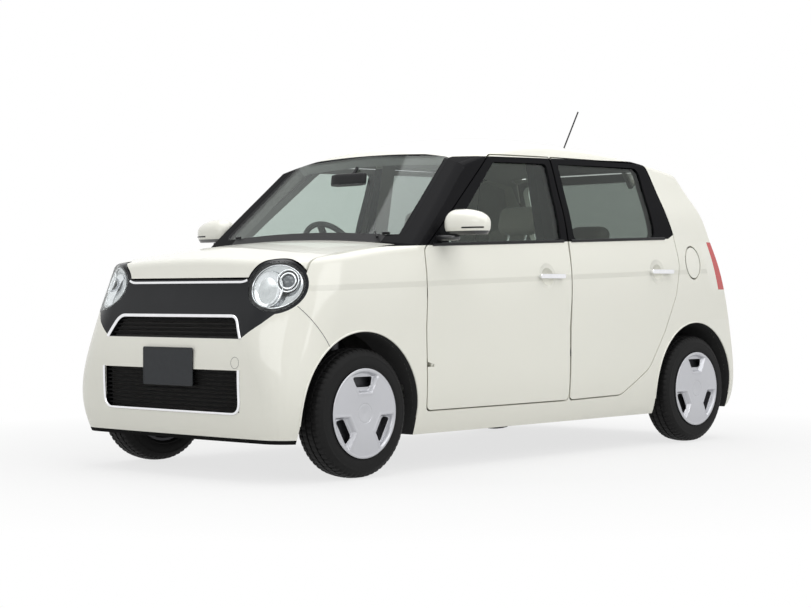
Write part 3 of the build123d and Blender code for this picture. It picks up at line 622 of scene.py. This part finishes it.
def divided(path, step):
    """The same line with points no further apart than step."""
    points = [path[0]]
    for here, after in zip(path, path[1:]):
        pieces = max(1, int((after - here).length / step + 0.5))
        points += [here.lerp(after, (i + 1) / pieces) for i in range(pieces)]
    return points


def smooth(low, high, value):
    """From zero at the low end to one at the high end, level at both."""
    t = min(1.0, max(0.0, (value - low) / (high - low)))
    return t * t * (3 - 2 * t)


print("shape helpers ready")

# %% [markdown]
# ## The floor's left half
# The floor's solid holds its right half only. The left half is that half's mirror image, in the
# same finishes, as a piece of this scene on the body.

# %% Left half of the floor
right_half = nodes["floor"].data
left_half = add_piece(
    "floor_left",
    mirrored(vertex.co for vertex in right_half.vertices),
    turned(face.vertices for face in right_half.polygons),
    carpet, "body",
)
for lining in list(right_half.materials)[1:]:
    left_half.data.materials.append(lining)
for face, like in zip(left_half.data.polygons, right_half.polygons):
    face.material_index = like.material_index
print("left half of the floor:", len(left_half.data.polygons), "faces")

# %% [markdown]
# ## Rear wheel houses
# A liner closes each rear wheel arch towards the cargo room: a bent sheet over the tyre and a wall
# at its inner edge, which ends above the axle.

# %% Rear wheel houses
HOUSE_RADIUS, HOUSE_INNER, HOUSE_OUTER = 342, 480, 690
HOUSE_FOOT = WHEEL_HEIGHT + 75
HOUSE_STEPS = 36
for side, hand in HANDS.items():
    points = []
    for i in range(HOUSE_STEPS + 1):
        turn = pi * i / HOUSE_STEPS
        along = WHEEL_PLACES["rear"] + HOUSE_RADIUS * cos(turn)
        height = WHEEL_HEIGHT + HOUSE_RADIUS * sin(turn)
        points += [at(hand * HOUSE_OUTER, along, height), at(hand * HOUSE_INNER, along, height),
                   at(hand * HOUSE_INNER, along, HOUSE_FOOT)]
    faces = []
    for i in range(HOUSE_STEPS):
        first, after = 3 * i, 3 * i + 3
        faces += [(first, first + 1, after + 1, after), (first + 1, first + 2, after + 2, after + 1)]
    add_piece(f"wheel_house_{side}", points, faces, underbody, "body")
print("two rear wheel houses")

# %% [markdown]
# ## Tyres
# A tyre is a profile turned about the axle. Ribs and grooves belong to the profile, and the cross cuts in
# the shoulders are steps that repeat round the turn, so the tread shows on the outline too.

# %% Tyres
# Distances from the tyre's middle plane and from the axle, from the bead out to the shoulder
TYRE_SIDE = [(66, 184), (70, 187), (73, 191), (75.6, 196), (74.6, 200.5), (76.6, 206), (77.4, 219),
             (77.0, 232), (75.6, 241), (76.2, 243.5), (74.6, 247), (71.5, 254), (66.5, 262), (61.5, 267.5)]
# The two edges of each rib
RIBS = [(56, 35), (28, 4.5), (-4.5, -28), (-35, -56)]
GROOVE, GROOVE_SLANT = 6.5, 1.2
TURN_STEPS = 240
CUT_EVERY = 4


def crown(across):
    """The tread's radius at a distance from the tyre's middle."""
    return 278.3 - 0.0019 * across * across


tyre_profile = list(TYRE_SIDE)
for (first, last), (after, _) in zip(RIBS, RIBS[1:] + [(None, None)]):
    tyre_profile += [(across, crown(across)) for across in (first, (first + last) / 2, last)]
    if after is not None:
        tyre_profile += [(last - GROOVE_SLANT, crown(last) - GROOVE),
                         (after + GROOVE_SLANT, crown(after) - GROOVE)]
tyre_profile += [(-across, radius) for across, radius in reversed(TYRE_SIDE)]


def tread_cut(across, radius, step):
    """How far the cross cuts lower the tread here."""
    shoulder = 34 < abs(across) < 74 and radius > 255
    middle = abs(across) < 29 and radius > 276
    if shoulder and step % CUT_EVERY == 0:
        return 4.5 if radius > 266 else 2.0
    if middle and (step + (2 if across > 0 else 0)) % CUT_EVERY == 0:
        return 2.2
    return 0.0


rows = len(tyre_profile)
tyre_faces = []
for step in range(TURN_STEPS):
    tyre_faces += band(step * rows, (step + 1) % TURN_STEPS * rows, rows)
for end, along in WHEEL_PLACES.items():
    for side, hand in HANDS.items():
        points = []
        for step in range(TURN_STEPS):
            turn = 2 * pi * step / TURN_STEPS
            for across, radius in tyre_profile:
                radius -= tread_cut(across, radius, step)
                points.append(at(hand * (WHEEL_X + across), along + radius * sin(turn),
                                 WHEEL_HEIGHT + radius * cos(turn)))
        faces = tyre_faces if hand > 0 else turned(tyre_faces)
        tyre = add_piece(f"tyre_tread_{end}_{side}", points, faces, rubber, f"wheel_{end}_{side}", 28)
        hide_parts(f"tyre_{end}_{side}")
print("tyres:", len(points), "points each")

# %% [markdown]
# ## Wheel covers
# The pressed cover has a three-armed raised middle, three sunk pockets and a slot in each pocket. A round
# grid takes its height from one function, and its points near a slot move onto the slot's edge before the
# slot's faces are left out, so the hole is clean.

# %% Wheel covers
COVER_EDGE = 191.0
RINGS, COVER_STEPS = 84, 264
POCKET_FOOT, SLOT_FOOT, SLOT_TOP = 84.0, 112.0, 155.0
SLOT_HALF_CORE, SLOT_ROUND = 10.0, 11.5
NEAR_SLOT, ON_SLOT, PROBE = 2.4, 0.15, 0.1
COVER_SHEET = 0.003


def pocket_edge(out, across):
    """How far a point lies outside the nearest side of a pocket; below zero is inside."""
    return max(POCKET_FOOT - out, abs(across) - 40 - (out - POCKET_FOOT) * 0.60)


def slot_edge(out, across):
    """How far a point lies outside the rounded edge of a slot; below zero is inside."""
    half_width = 34 + (out - SLOT_FOOT) * 0.30
    core = Vector((abs(across) - half_width, abs(out - (SLOT_FOOT + SLOT_TOP) / 2) - SLOT_HALF_CORE))
    outside = Vector((max(core.x, 0), max(core.y, 0))).length
    return outside + min(max(core.x, core.y), 0) - SLOT_ROUND


def slot_frame(u, v):
    """A point as distances out from the middle and across, for the arm nearest to it."""
    third = 2 * pi / 3
    turn = atan2(u, v)
    turn -= third * round(turn / third)
    reach = hypot(u, v)
    return reach * cos(turn), reach * sin(turn)


def ridge(distance, width):
    """A round ridge of height one, seen across it."""
    return exp(-(distance / width) ** 2)


def cover_height(u, v):
    """How far the cover stands out at a point: its dome, pockets, rims and the groove round its hub."""
    reach = hypot(u, v)
    out, across = slot_frame(u, v)
    edge = pocket_edge(out, across)
    height = 74 + 0.1295 * reach - 0.000593 * reach * reach
    inside = 1 - smooth(172, 181, reach)
    height -= 17 * smooth(0, 15, -edge) * inside
    height += 2.2 * ridge(edge, 6) * inside
    height += 2.0 * ridge(reach - 186, 4)
    height -= 1.6 * ridge(reach - 41, 2.6)
    height += 1.8 * ridge(slot_edge(out, across), 4)
    return height


cover_grid = [(0.0, 0.0)]
for ring_number in range(1, RINGS + 1):
    for step in range(COVER_STEPS):
        reach = COVER_EDGE * ring_number / RINGS
        turn = 2 * pi * step / COVER_STEPS
        u, v = reach * sin(turn), reach * cos(turn)
        for _ in range(2):
            near = slot_edge(*slot_frame(u, v))
            if abs(near) < NEAR_SLOT:
                slope_u = (slot_edge(*slot_frame(u + PROBE, v)) - near) / PROBE
                slope_v = (slot_edge(*slot_frame(u, v + PROBE)) - near) / PROBE
                u, v = u - near * slope_u, v - near * slope_v
        cover_grid.append((u, v))
cover_depth = [cover_height(u, v) for u, v in cover_grid]
open_points = [slot_edge(*slot_frame(u, v)) < ON_SLOT for u, v in cover_grid]
cover_faces = [(0, 1 + (step + 1) % COVER_STEPS, 1 + step) for step in range(COVER_STEPS)]
for ring_number in range(RINGS - 1):
    for step in range(COVER_STEPS):
        here = 1 + ring_number * COVER_STEPS
        after = (step + 1) % COVER_STEPS
        quad = (here + step, here + after, here + COVER_STEPS + after, here + COVER_STEPS + step)
        if not all(open_points[i] for i in quad):
            cover_faces.append(quad)
for end, along in WHEEL_PLACES.items():
    for side, hand in HANDS.items():
        points = [at(hand * (WHEEL_X + depth), along + u, WHEEL_HEIGHT + v)
                  for (u, v), depth in zip(cover_grid, cover_depth)]
        faces = cover_faces if hand < 0 else turned(cover_faces)
        cover = add_piece(f"pressed_cover_{end}_{side}", points, faces, wheel_silver,
                          f"wheel_{end}_{side}", 50)
        bm = bmesh.new()
        bm.from_mesh(cover.data)
        bmesh.ops.delete(bm, geom=[p for p in bm.verts if not p.link_faces], context="VERTS")
        bm.to_mesh(cover.data)
        bm.free()
        sheet = cover.modifiers.new("thickness", "SOLIDIFY")
        sheet.thickness = COVER_SHEET
        sheet.offset = -1
        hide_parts(f"cover_{end}_{side}")
print("covers:", len(cover_faces), "faces each")

# %% [markdown]
# ## Nose trim
# Bright strips frame the two grilles and run under the hood's edge. Each is a flattened rod laid on the
# panel behind it. The plate is a plain blank one, a thin pressed panel with a raised edge.


# %% Grille surrounds, strip, plate and tow cover
def nose_line(path, lift, widen=1.0, rise=0.0):
    """A line a little proud of the car's front, which is felt for at the same path, wider and higher."""
    line, last = [], None
    for across, height in path:
        spot = on_nose(across * widen, height + rise)
        last = spot.y if spot else last
        line.append(Vector((across / 1000, last - lift, height / 1000)))
    return line


NOSE_STEP = 14
# Name, corners of the surround, their rounding, and how much higher the panel is felt for
SURROUNDS = (
    ("upper", [(440, 600), (386, 694), (-386, 694), (-440, 600)], 34, 4),
    ("lower", [(447, 470), (446, 286), (-446, 286), (-447, 470)], 52, -5),
)
for name, corners, rounding, rise in SURROUNDS:
    line = nose_line(divided(rounded_path(corners, rounding), NOSE_STEP), 0.003, 1.012, rise)
    tube(f"{name}_surround", line, 0.0085, chrome, "body", squeeze=0.75)
strip_path = [(x, 838 + 9 * (max(0, abs(x) - 352) / 40) ** 2) for x in range(-392, 393, NOSE_STEP)]
tube("hood_edge_strip", nose_line(strip_path, 0.002), 0.0062, chrome, "body", squeeze=0.8)

PLATE_HALF_WIDTH, PLATE_HALF_HEIGHT, PLATE_ROUND = 165.0, 82.5, 9.0


def plate_outline(inset):
    """The plate's outline with round corners, its edge moved in."""
    outline = []
    radius = PLATE_ROUND - inset
    for corner_number, (right_hand, over) in enumerate(((1, 1), (-1, 1), (-1, -1), (1, -1))):
        across = (PLATE_HALF_WIDTH - PLATE_ROUND) * right_hand
        above = (PLATE_HALF_HEIGHT - PLATE_ROUND) * over
        for i in range(6):
            bend = pi / 2 * (corner_number + i / 5)
            outline.append((across + radius * cos(bend), above + radius * sin(bend)))
    return outline


PLATE_AT, PLATE_HEIGHT = -467.0, 477.0
# How far each edge of the pressing lies in from the plate's edge, and behind its rear face
PLATE_STEPS = [(0.0, 0.0), (0.0, -3.0), (1.2, -4.2), (3.8, -4.2), (5.0, -2.8)]
points, faces = [], []
for inset, back in PLATE_STEPS:
    points += [at(x, PLATE_AT + back, PLATE_HEIGHT + z) for x, z in plate_outline(inset)]
size = len(plate_outline(0))
for low in range(0, len(points) - size, size):
    faces += band(low, low + size, size)
faces.append(tuple(range(size)))
faces.append(tuple(reversed(range(len(points) - size, len(points)))))
plate_grey = glossy("plate_grey", rgb(0.020, 0.022, 0.025), rgb(0.030, 0.033, 0.036), 40.0, (0.3, 0.45),
                    Specular_IOR_Level=0.2)
add_piece("blank_plate", points, faces, plate_grey, "body", 30)
BRACKET_CORNERS = ((-60, 425), (60, 425), (60, 535), (-60, 535))
bracket = [at(x, along, height) for along in (-464, -448) for x, height in BRACKET_CORNERS]
bracket_faces = [(0, 1, 2, 3), (7, 6, 5, 4), *band(0, 4, 4)]
add_piece("plate_bracket", bracket, bracket_faces, black_plastic, "body")
TOW_MIDDLE, TOW_RADIUS = (420, 500), 24
tow_seam = nose_line(oval(TOW_MIDDLE, (TOW_RADIUS, TOW_RADIUS), 40), 0.0001)
tube("tow_cover_seam", tow_seam, 0.0007, steel_dark, "body", closed=True)
print("nose trim laid")

# %% [markdown]
# ## Headlamps
# Behind the clear lens sit a bright reflector bowl and, further out, a projector in bright rings. They are
# set back from the lens itself, which a ray along the lamp's axis finds, so nothing touches it.

# %% Headlamps
LAMP_MIDDLE = at(536, -327, 817)
LENS_SHEET = 0.006
lamp_out = Vector((0.5, -0.86, 0.1)).normalized()
outer_end = Vector((0.86, 0.5, 0.12))
lamp_side = (outer_end - lamp_out * outer_end.dot(lamp_out)).normalized()
lamp_up = lamp_out.cross(lamp_side)


def behind_lens(a, b, depth):
    """A point in the lamp: along it, up it, and behind the inside of the lens, in millimetres."""
    spot = LAMP_MIDDLE + lamp_side * a / 1000 + lamp_up * b / 1000
    found = meet(["headlamp_lenses"], spot + lamp_out * 0.4, -lamp_out)
    face = found[0] if found else spot
    return face - lamp_out * (LENS_SHEET + depth / 1000)


def lamp_dish(name, middle, radii, rim, depth, material, bulge=2.0):
    """A bowl in the lamp on both sides of the car, with its rim at one depth and its foot at another."""
    rings, steps = 12, 48
    points = [behind_lens(*middle, depth)]
    for ring_number in range(1, rings + 1):
        share = ring_number / rings
        sunk = rim + (depth - rim) * (1 - share ** bulge)
        ring = oval(middle, (radii[0] * share, radii[1] * share), steps)
        points += [behind_lens(a, b, sunk) for a, b in ring]
    faces = [(0, 1 + step, 1 + (step + 1) % steps) for step in range(steps)]
    for ring_number in range(rings - 1):
        low = 1 + ring_number * steps
        faces += band(low, low + steps, steps)
    add_piece(f"{name}_left", points, faces, material, "body", 40)
    add_piece(f"{name}_right", mirrored(points), turned(faces), material, "body", 40)


def lamp_ring(name, middle, radii, depth, thick, material):
    """A ring in the lamp on both sides of the car."""
    line = [behind_lens(a, b, depth) for a, b in oval(middle, radii, 64)]
    tube(f"{name}_left", line, thick, material, "body", closed=True)
    tube(f"{name}_right", mirrored(reversed(line)), thick, material, "body", closed=True)


satin_silver = glossy("satin_silver", rgb(0.55, 0.56, 0.57), rgb(0.72, 0.73, 0.74), 25.0, (0.12, 0.25),
                      Metallic=1.0)
bulb_glass = glossy("bulb_glass", rgb(0.05, 0.06, 0.07), rgb(0.12, 0.13, 0.15), 30.0, (0.03, 0.06),
                    Coat_Weight=1.0)
REFLECTOR, REFLECTOR_SIZE = (-36, -6), (68, 78)
PROJECTOR = (54, 18)
lamp_dish("lamp_floor", (0, 0), (116, 92), 12, 30, satin_silver)
lamp_ring("lamp_floor_rim", (0, 0), (117, 93), 9, 0.004, chrome)
lamp_dish("lamp_reflector", REFLECTOR, REFLECTOR_SIZE, 5, 36, chrome, 2.4)
lamp_ring("reflector_rim", REFLECTOR, REFLECTOR_SIZE, 4, 0.0026, satin_silver)
lamp_dish("projector_bowl", PROJECTOR, (47, 47), 4, 26, satin_silver, 3.0)
lamp_ring("projector_rim", PROJECTOR, (47, 47), 4, 0.003, chrome)
lamp_ring("projector_ring", PROJECTOR, (33, 33), 9, 0.0045, chrome)
lamp_ring("projector_step", PROJECTOR, (39, 39), 12, 0.0035, black_gloss)
lamp_dish("projector_lens", PROJECTOR, (30, 30), 16, 4, bulb_glass)
print("headlamps filled")

# %% [markdown]
# ## Seats
# A seat is foam under stretched cloth. Rounded blocks give the plan of each pad, with bolsters at its sides.
# A short cloth simulation under pressure then swells them, and how far a point may move is capped.

# %% Seat cloth and pads
THREADS = 1800.0


def seat_cloth():
    material, wire, shader = finish("seat_cloth", Sheen_Weight=0.25)
    spot, (x, y, z) = place(wire)
    thread_x, thread_y, thread_z = (wire.math("SINE", part * THREADS) for part in (x, y, z))
    weave = thread_x * thread_z + thread_y
    fuzz = grain(wire, spot, 700.0)
    worn = grain(wire, spot, 5.0)
    colour = wire.mix(0.5 * fuzz + 0.5 * worn, rgb(0.33, 0.31, 0.27), rgb(0.46, 0.44, 0.39))
    feed(wire, shader, Base_Color=colour, Roughness=0.8 + 0.15 * fuzz,
         Normal=bump(wire, weave + fuzz, 0.5, 0.0006))
    return material


seat_fabric = seat_cloth()


def rounded_block(half, radius, place_at, shape=None, cuts=11):
    """Points and faces of a block with round edges, bent by shape and put in its place, in millimetres."""
    bm = bmesh.new()
    bmesh.ops.create_cube(bm, size=2.0)
    bmesh.ops.subdivide_edges(bm, edges=bm.edges[:], cuts=cuts, use_grid_fill=True)
    points = []
    for vert in bm.verts:
        full = [vert.co[i] * half[i] for i in range(3)]
        core = Vector([max(radius - half[i], min(half[i] - radius, full[i])) for i in range(3)])
        away = Vector(full) - core
        point = core + away.normalized() * radius if away.length > 1e-6 else Vector(full)
        points.append(place_at @ (shape(point) if shape else point))
    bm.verts.index_update()
    faces = [tuple(vert.index for vert in face.verts) for face in bm.faces]
    bm.free()
    return points, faces


def put(x, along, height, lean=0.0):
    """Where a block goes, in millimetres, leaning back by some degrees."""
    return Matrix.Translation((x, FRONT_AXLE_Y + along, height)) @ Matrix.Rotation(radians(-lean), 4, "X")


def gathered(blocks):
    """Several blocks as one list of points in metres and one of faces."""
    points, faces = [], []
    for block_points, block_faces in blocks:
        faces += [tuple(i + len(points) for i in face) for face in block_faces]
        points += [point / 1000 for point in block_points]
    return points, faces


def block_piece(name, block, material):
    """One block as a piece on the body."""
    return add_piece(name, *gathered([block]), material, "body", 60)


SWELL_FRAMES, SWELL_PRESSURE, SWELL_CAP = 12, 4.0, 0.012


def swell(piece):
    """Blows the pads up a little as cloth, and keeps the result as the mesh."""
    start = [vert.co.copy() for vert in piece.data.vertices]
    cloth = piece.modifiers.new("swell", "CLOTH")
    cloth.settings.use_pressure = True
    cloth.settings.uniform_pressure_force = SWELL_PRESSURE
    cloth.settings.effector_weights.gravity = 0.0
    cloth.point_cache.frame_start, cloth.point_cache.frame_end = 1, SWELL_FRAMES
    for number in range(1, SWELL_FRAMES + 1):
        bpy.context.scene.frame_set(number)
    swollen = piece.evaluated_get(bpy.context.evaluated_depsgraph_get()).data
    moves = [vert.co - here for vert, here in zip(swollen.vertices, start)]
    piece.modifiers.remove(cloth)
    for vert, here, move in zip(piece.data.vertices, start, moves):
        vert.co = here + move * min(1.0, SWELL_CAP / max(move.length, 1e-9))
    bpy.context.scene.frame_set(1)


def seat(name, replaced, blocks):
    """The pads of one seat as a piece that stands for a CAD node."""
    pads = add_piece(name, *gathered(blocks), seat_fabric, "body", 180)
    swell(pads)
    soft = pads.modifiers.new("round", "SUBSURF")
    soft.levels = soft.render_levels = 1
    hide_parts(replaced)


def cushion_shape(half):
    """Raised at the sides and hollow in the middle."""
    def shape(point):
        if point.z > 0:
            share = abs(point.x) / half
            point.z += 20 * smooth(0.55, 0.9, share) - 8 * (1 - share * share)
        return point
    return shape


def back_shape(half, tall):
    """With bolsters at the sides of its front, and narrower toward its top."""
    def shape(point):
        share = abs(point.x) / half
        if point.y < 0:
            point.y -= 24 * smooth(0.55, 0.9, share) * (1 - smooth(0.55, 1.0, point.z / tall))
        point.x *= 1 - 0.16 * smooth(0.2, 1.0, point.z / tall)
        return point
    return shape


def up_back(foot, reach):
    """A place up a leaning seat back."""
    return foot @ Matrix.Translation((0, 0, reach))


def headrest(foot, reach):
    return rounded_block((120, 46, 72), 44, up_back(foot, reach), cuts=7)


def posts(name, foot, reach):
    """The two bright posts of a headrest."""
    for number, offset in enumerate((-55, 55)):
        line = [foot @ Vector((offset, 0, reach + step)) / 1000 for step in (-60, 0, 60)]
        tube(f"{name}_{number}", line, 0.006, chrome, "body")


POSTS_BELOW = 90
FRONT_SEAT_X, FRONT_BACK, FRONT_LEAN, FRONT_HEADREST = 325, 1400, 14, 615
for side, hand in HANDS.items():
    x = hand * FRONT_SEAT_X
    head_foot = put(x, FRONT_BACK, 550, FRONT_LEAN)
    seat(f"front_seat_{side}", "front_seats", [
        rounded_block((206, 226, 84), 62, put(x, 1186, 522, 4), cushion_shape(206)),
        rounded_block((200, 54, 252), 50, up_back(put(x, FRONT_BACK, 552, FRONT_LEAN), 255),
                      back_shape(200, 255)),
        headrest(head_foot, FRONT_HEADREST),
    ])
    posts(f"front_headrest_posts_{side}", head_foot, FRONT_HEADREST - POSTS_BELOW)
    plinth = rounded_block((180, 190, 50), 18, put(x, 1190, 384), cuts=4)
    block_piece(f"front_seat_plinth_{side}", plinth, black_plastic)

REAR_BACK, REAR_LEAN, REAR_HEADREST = 2040, 16, 525
rear_feet = {side: put(hand * 280, REAR_BACK, 560, REAR_LEAN) for side, hand in HANDS.items()}
bench = [rounded_block((258, 172, 80), 58, put(hand * 262, 1868, 536, 3), cushion_shape(300))
         for hand in HANDS.values()]
bench += [rounded_block((256, 52, 206), 48, up_back(put(hand * 260, REAR_BACK, 562, REAR_LEAN), 210),
                        back_shape(420, 400)) for hand in HANDS.values()]
bench += [headrest(foot, REAR_HEADREST) for foot in rear_feet.values()]
seat("rear_bench", "rear_seat", bench)
for side, foot in rear_feet.items():
    posts(f"rear_headrest_posts_{side}", foot, REAR_HEADREST - POSTS_BELOW)
print("seats padded")

# %% [markdown]
# ## Outer mirrors
# Each mirror is a half dome in body colour with a flat underside, on a short black foot. Its glass looks back
# and a thin dark lamp strip runs round its lower front.

# %% Outer mirrors
MIRROR_MIDDLE = (840, 552, 1094)
MIRROR_HALF = (118, 62, 66)
MIRROR_BACK, MIRROR_FLAT = 40, -48
LAMP_STRIP_HEIGHT, LAMP_STRIP_POINTS = 1076, 13


def dome(point):
    """Flat below and behind, lower and narrower toward the outer end."""
    outward = smooth(-10, MIRROR_HALF[0], point.x)
    height = point.z * (1 - 0.30 * outward) if point.z > 0 else max(point.z, MIRROR_FLAT)
    return Vector((point.x, min(point.y * (1 - 0.25 * outward), MIRROR_BACK), height))


shell = rounded_block(MIRROR_HALF, 60, put(*MIRROR_MIDDLE), dome, cuts=17)
foot_block = rounded_block((62, 24, 13), 11, put(742, 522, 1034), cuts=5)
glass_block = rounded_block((70, 2, 36), 1.8, put(832, MIRROR_MIDDLE[1] + MIRROR_BACK + 1, 1092), cuts=5)
for side in HANDS:
    for name, blocks, material in (("mirror_shell", [shell, foot_block], mirror_paint),
                                   ("mirror_glass", [glass_block], chrome)):
        points, faces = gathered(blocks)
        if side == "right":
            points, faces = mirrored(points), turned(faces)
        piece = add_piece(f"{name}_{side}", points, faces, material, f"front_door_{side}", 50)
        if name == "mirror_shell":
            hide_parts(f"mirror_{side}")
bpy.context.view_layer.update()
left_shell = bpy.data.objects["mirror_shell_left"]
strip = []
for i in range(LAMP_STRIP_POINTS):
    turn = radians(-78 + 66 * i / (LAMP_STRIP_POINTS - 1))
    outward = Vector((cos(turn), sin(turn), 0))
    outside = at(*MIRROR_MIDDLE[:2], LAMP_STRIP_HEIGHT) + outward * 0.3
    found, point, _, _ = left_shell.ray_cast(outside, -outward)
    if found:
        strip.append(point)
side_rod("mirror_lamp", strip, 0.0035, black_gloss, "front_door")
print(f"outer mirrors with lamp strips of {len(strip)} points")

# %% [markdown]
# ## Cabin fittings
# What shows through the windscreen: the inner mirror on its stalk, two sun visors and the instrument hood.

# %% Cabin fittings
block_piece("inner_mirror", rounded_block((112, 14, 31), 13, put(0, 655, 1330, 8), cuts=5), black_plastic)
stalk = [at(0, 668, 1340), at(0, 700, 1372), at(0, 716, 1392)]
tube("inner_mirror_stalk", stalk, 0.008, black_plastic, "body")
for side, hand in HANDS.items():
    visor = rounded_block((175, 68, 9), 9, put(hand * 300, 930, 1424, -10), cuts=5)
    visor_piece = block_piece(f"sun_visor_{side}", visor, headliner)
block_piece("instrument_hood", rounded_block((150, 70, 42), 36, put(-340, 640, 985, 8), cuts=6), dash_plastic)
print("cabin fitted")

# %% [markdown]
# ## Wipers, belt mouldings and arch lips
# Thin parts that lie on the body: each takes its line from rays shot at the panels that carry it.

# %% Thin parts on the body
SCREEN_FOOT, SCREEN_BOW = 352, 40


def on_screen(x, along, lift):
    """A point of the windscreen, a little proud of it."""
    found = meet(["windscreen"], at(x, along, 2500), DOWN)
    return found[0] + found[1] * lift if found else None


def sweep_line(x, back):
    """How far behind the front axle a line lies that follows the foot of the windscreen."""
    return SCREEN_FOOT + back + SCREEN_BOW * (x / 600) ** 2


for name, start, end, pivot in (("near", 40, 520, 480), ("far", -500, 20, -20)):
    blade = [on_screen(x, sweep_line(x, 6), 0.006) for x in range(start, end + 1, 40)]
    tube(f"wiper_blade_{name}", blade, 0.0055, black_plastic, "body", squeeze=0.6)
    middle = (start + end) / 2
    arm = [at(pivot, 345, 1040), on_screen(pivot * 0.8 + middle * 0.2, sweep_line(pivot, 3), 0.011),
           on_screen(middle, sweep_line(middle, 6), 0.012)]
    tube(f"wiper_arm_{name}", arm, 0.007, black_plastic, "body", squeeze=0.7)


def on_side(names, along, height, lift):
    """A point of the left side, a little proud of it."""
    found = meet(names, at(1200, along, height), INWARD)
    return found[0] + Vector((lift, 0, 0)) if found else None


ABOVE_BELT = 3
SEAM_TOP, SEAM_FOOT = Vector((-316, 736)), Vector((-192, 548))
seam_line = [SEAM_TOP.lerp(SEAM_FOOT, i / 10) for i in range(11)]
seam = [on_side(["fender_left", "front_bumper"], along, height, 0.0) for along, height in seam_line]
side_rod("bumper_seam", seam, 0.0013, steel_dark)
for end, first, last in (("front", 470, 1420), ("rear", 1478, 2296)):
    panels = [f"{end}_door_left", f"{end}_door_glass_left"]
    sill = [on_side(panels, along, line_height(along, 1000 * BELT[0], BELT[1]) + ABOVE_BELT, 0.001)
            for along in range(first, last + 1, 50)]
    side_rod(f"belt_moulding_{end}", sill, 0.008, black_gloss, f"{end}_door", 0.6)

ARCH_LIP, LIP_FOOT = 351.0, 205
for end, along in WHEEL_PLACES.items():
    panels = ["fender_left", "front_bumper"] if end == "front" else ["side_frame_left", "rear_bumper"]
    lip = []
    for step in range(-14, 195, 4):
        turn = radians(step)
        height = WHEEL_HEIGHT + ARCH_LIP * sin(turn)
        lip.append(on_side(panels, along - ARCH_LIP * cos(turn), height, 0.0) if height > LIP_FOOT else None)
    side_rod(f"arch_lip_{end}", lip, 0.0045, pearl)
print("thin parts laid")
